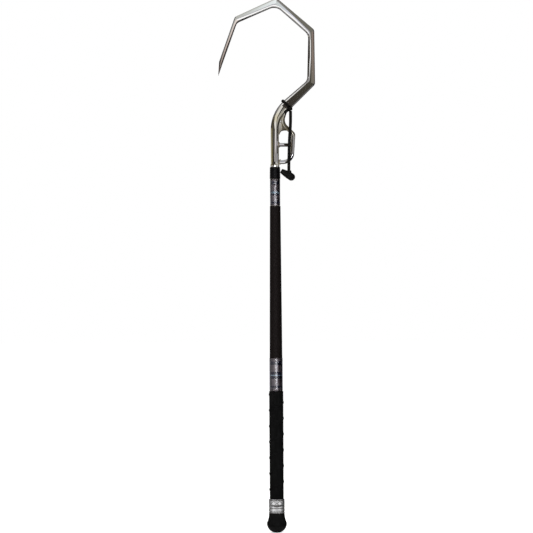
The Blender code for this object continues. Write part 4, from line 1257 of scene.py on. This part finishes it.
knot_path = [Vector((0.0, 0.0, -0.0030)), Vector((0.0, 0.0, 0.0012)),
             Vector((0.0006, 0.0, KNOT_RISE + 0.0006))]
for k in range(KNOT_STEPS + 1):
    turn = 2 * math.pi * KNOT_TURNS * k / KNOT_STEPS
    knot_path.append(Vector((KNOT_COIL * math.cos(turn), KNOT_COIL * math.sin(turn),
                             KNOT_RISE * (1 - 2 * k / KNOT_STEPS))))
knot_path += [Vector((0.0002, 0.0014, -KNOT_RISE - 0.0010)), Vector((0.0, -0.0006, -KNOT_RISE))]
knot_path = [spot + KNOT_CENTRE for spot in smooth_run(knot_path, 3)]
knot = cooked("barrel_knot", sheath_tree, cord_black, line_of("knot_line", knot_path), radius=KNOT_STRAND,
              strands=8, lay=0.0036, relief=0.00010, step=0.0003, sides=32)
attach(knot, "knot")
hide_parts("tether_knot")

# Lashing
# The same cord pulled flat and taken once round the hook above the bend, from the knot
# over the upper edge, behind the bar, and out below the knot in a short tail.
LASH_CENTRE = Vector((0.0273, 0.0, 0.9614))
LASH_ALONG = Vector((0.737, 0.0, 0.676))
LASH_ACROSS = Vector((0.676, 0.0, -0.737))
LASH_BAR = (0.0121, 0.0091)
# Degrees round the bar, then in mm: along the bar, half width and half thickness.
LASH_STATIONS = [
    (112, 0.3, 3.2, 1.8), (90, 0.2, 3.3, 1.8), (45, 0.0, 3.3, 1.8), (0, -0.4, 3.3, 1.8),
    (-45, -0.3, 3.3, 1.8), (-90, 0.0, 3.3, 1.8), (-135, 0.6, 3.3, 1.8), (-180, 0.8, 3.2, 1.8),
    (-200, -1.4, 3.2, 1.8), (-214, -4.4, 3.2, 1.8), (-224, -7.6, 3.2, 2.2), (-227, -10.8, 3.2, 2.5),
    (-225, -13.2, 3.2, 2.6), (-221, -15.4, 3.1, 2.6),
]
LASH_STRANDS = 14
LASH_LAY = 0.0052
LASH_RELIEF = 0.00022
LASH_SIDES = 84
LASH_STEPS = 22
LASH_SLICE = 0.0004
LASH_ROUND = 6
LASH_END = 0.55


def eased(points, count):
    """The places of so many even steps along a run of points, and its length."""
    gone = [0.0]
    for here, after in zip(points, points[1:]):
        gone.append(gone[-1] + (after - here).length)
    run = []
    k = 0
    for j in range(count):
        want = gone[-1] * j / (count - 1)
        while gone[k + 1] < want and k < len(gone) - 2:
            k += 1
        run.append(k + (want - gone[k]) / (gone[k + 1] - gone[k]))
    return run, gone[-1]


stations = smooth_run([Vector(station) for station in LASH_STATIONS], LASH_STEPS)
spots = []
outs = []
for turn, along, wide, thick in stations:
    level = -LASH_ACROSS * math.cos(math.radians(turn))
    forth = Vector((0, -math.sin(math.radians(turn)), 0))
    room = thick * MM + 0.0003
    spots.append(LASH_CENTRE + LASH_ALONG * along * MM + level * (LASH_BAR[0] + room)
                 + forth * (LASH_BAR[1] + room))
    outs.append(level * LASH_BAR[1] + forth * LASH_BAR[0])
slices = round(sum((b - a).length for a, b in zip(spots, spots[1:])) / LASH_SLICE)
places, length = eased(spots, slices)
rings = []
for n, place in enumerate(places):
    k = min(int(place), len(spots) - 2)
    share = place - k
    middle = spots[k].lerp(spots[k + 1], share)
    forward = (spots[min(k + 2, len(spots) - 1)] - spots[max(k - 1, 0)]).normalized()
    side = forward.cross(outs[k].lerp(outs[k + 1], share)).normalized()
    up = side.cross(forward)
    wide, thick = [stations[k][j] + (stations[k + 1][j] - stations[k][j]) * share for j in (2, 3)]
    gone = length * n / (len(places) - 1)
    ends = min(1.0, (length - gone) / (LASH_ROUND * LASH_SLICE), gone / (LASH_ROUND * LASH_SLICE))
    drawn = LASH_END + (1 - LASH_END) * math.sqrt(1 - (1 - ends) ** 2)
    climb = 2 * math.pi * gone / LASH_LAY
    ring = []
    for j in range(LASH_SIDES):
        turn = 2 * math.pi * j / LASH_SIDES
        fibre = turn * LASH_STRANDS / 2
        weave = abs(math.sin(fibre + climb)) * abs(math.sin(fibre - climb))
        sunk = LASH_RELIEF * (1 - weave) / MM
        out = side * (wide - sunk) * math.cos(turn) + up * (thick - sunk) * math.sin(turn)
        ring.append(middle + out * drawn * MM)
    rings.append(ring)
hook_lashing = skin("hook_lashing", rings, cord_black)
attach(hook_lashing, "root")
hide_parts("lashing")

# Point guard
# A soft rubber boot that is pushed on the hook's point when the gaff is put away: a
# tapered body with a blind bore at its narrow end and a round closed end.
GUARD_PIVOT = Vector((0.0310, -0.0120, 0.8122))
GUARD_NARROW = Vector((0.0171, -0.0120, 0.8113))
GUARD_FAT = Vector((0.0365, -0.0120, 0.7993))
GUARD_OUTLINE = [(4.0, -4.1), (4.7, -3.7), (5.1, -2.9), (5.6, -1.0), (6.5, 3.0), (7.4, 8.5), (8.2, 15.0)]
GUARD_BORE = [(0.0, 17.0), (1.4, 14.0), (3.3, 4.0), (3.3, -3.8), (3.6, -4.1)]
GUARD_FAT_R = 8.5
GUARD_SIDES = 72
GUARD_RIM = [(6.4, -4.0), (6.0, -2.0), (5.5, 0.4), (5.2, 1.3), (4.7, 1.75), (4.2, 1.8)]
SEAT_BALL = 0.0038
SEAT_TOP = 0.0060
SEAT_FLARE = 16

guard_rubber, guard_tree, guard_shader = finish("guard_rubber", (0.0036, 0.0036, 0.0034), 0.6,
                                                Specular_IOR_Level=0.06)
pebble = stretched_noise(guard_tree, (1100.0, 1100.0, 1100.0), 3.0)
wiped = stretched_noise(guard_tree, (150.0, 150.0, 150.0), 5.0)
bumped(guard_tree, guard_shader, pebble, 0.00006)
worn(guard_tree, guard_shader, wiped, (0.5, 0.75), ((0.0034, 0.0034, 0.0032), (0.0072, 0.0072, 0.0068)),
     (0.5, 0.8))

along = GUARD_FAT - GUARD_NARROW
length = along.length / MM
body = smooth_run([Vector(spot) for spot in GUARD_OUTLINE], 5)
outline = GUARD_BORE + [(spot.x, spot.y) for spot in body]
outline += bow(0.0, length, GUARD_FAT_R, 0, 90, 20)[1:-1] + [(0.0, length + GUARD_FAT_R)]
boot = turned_skin("point_boot", [(r * MM, z * MM) for r, z in outline], guard_rubber, sides=GUARD_SIDES,
                   closed=False)
boot.data.transform(Vector((0, 0, 1)).rotation_difference(along).to_matrix().to_4x4())
boot.data.transform(Matrix.Translation(GUARD_NARROW))
rim = turned_skin("cord_rim", [(0.0, -0.005)] + [(r * MM, z * MM) for r, z in GUARD_RIM] + [(0.0, 0.0018)],
                  guard_rubber, sides=GUARD_SIDES, closed=False)
spread = SEAT_BALL + SEAT_TOP * math.tan(math.radians(SEAT_FLARE))
seat = turned_skin("cord_seat", [(0.0, -SEAT_BALL)] + bow(0.0, 0.0, SEAT_BALL, -80, 0, 10)
                   + [(spread, SEAT_TOP), (0.0, SEAT_TOP)], guard_rubber, sides=48, closed=False)
for tool, operation in ((rim, "UNION"), (seat, "DIFFERENCE")):
    tool.data.transform(Matrix.Translation(GUARD_PIVOT))
    step = boot.modifiers.new(tool.name, "BOOLEAN")
    step.operation = operation
    step.solver = "EXACT"
    step.object = tool
boot_mesh = bpy.data.meshes.new_from_object(boot.evaluated_get(bpy.context.evaluated_depsgraph_get()))
boot.modifiers.clear()
boot.data = boot_mesh
for tool in (rim, seat):
    bpy.data.objects.remove(tool)
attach(boot, "guard")
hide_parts("point_guard")

low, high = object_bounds()
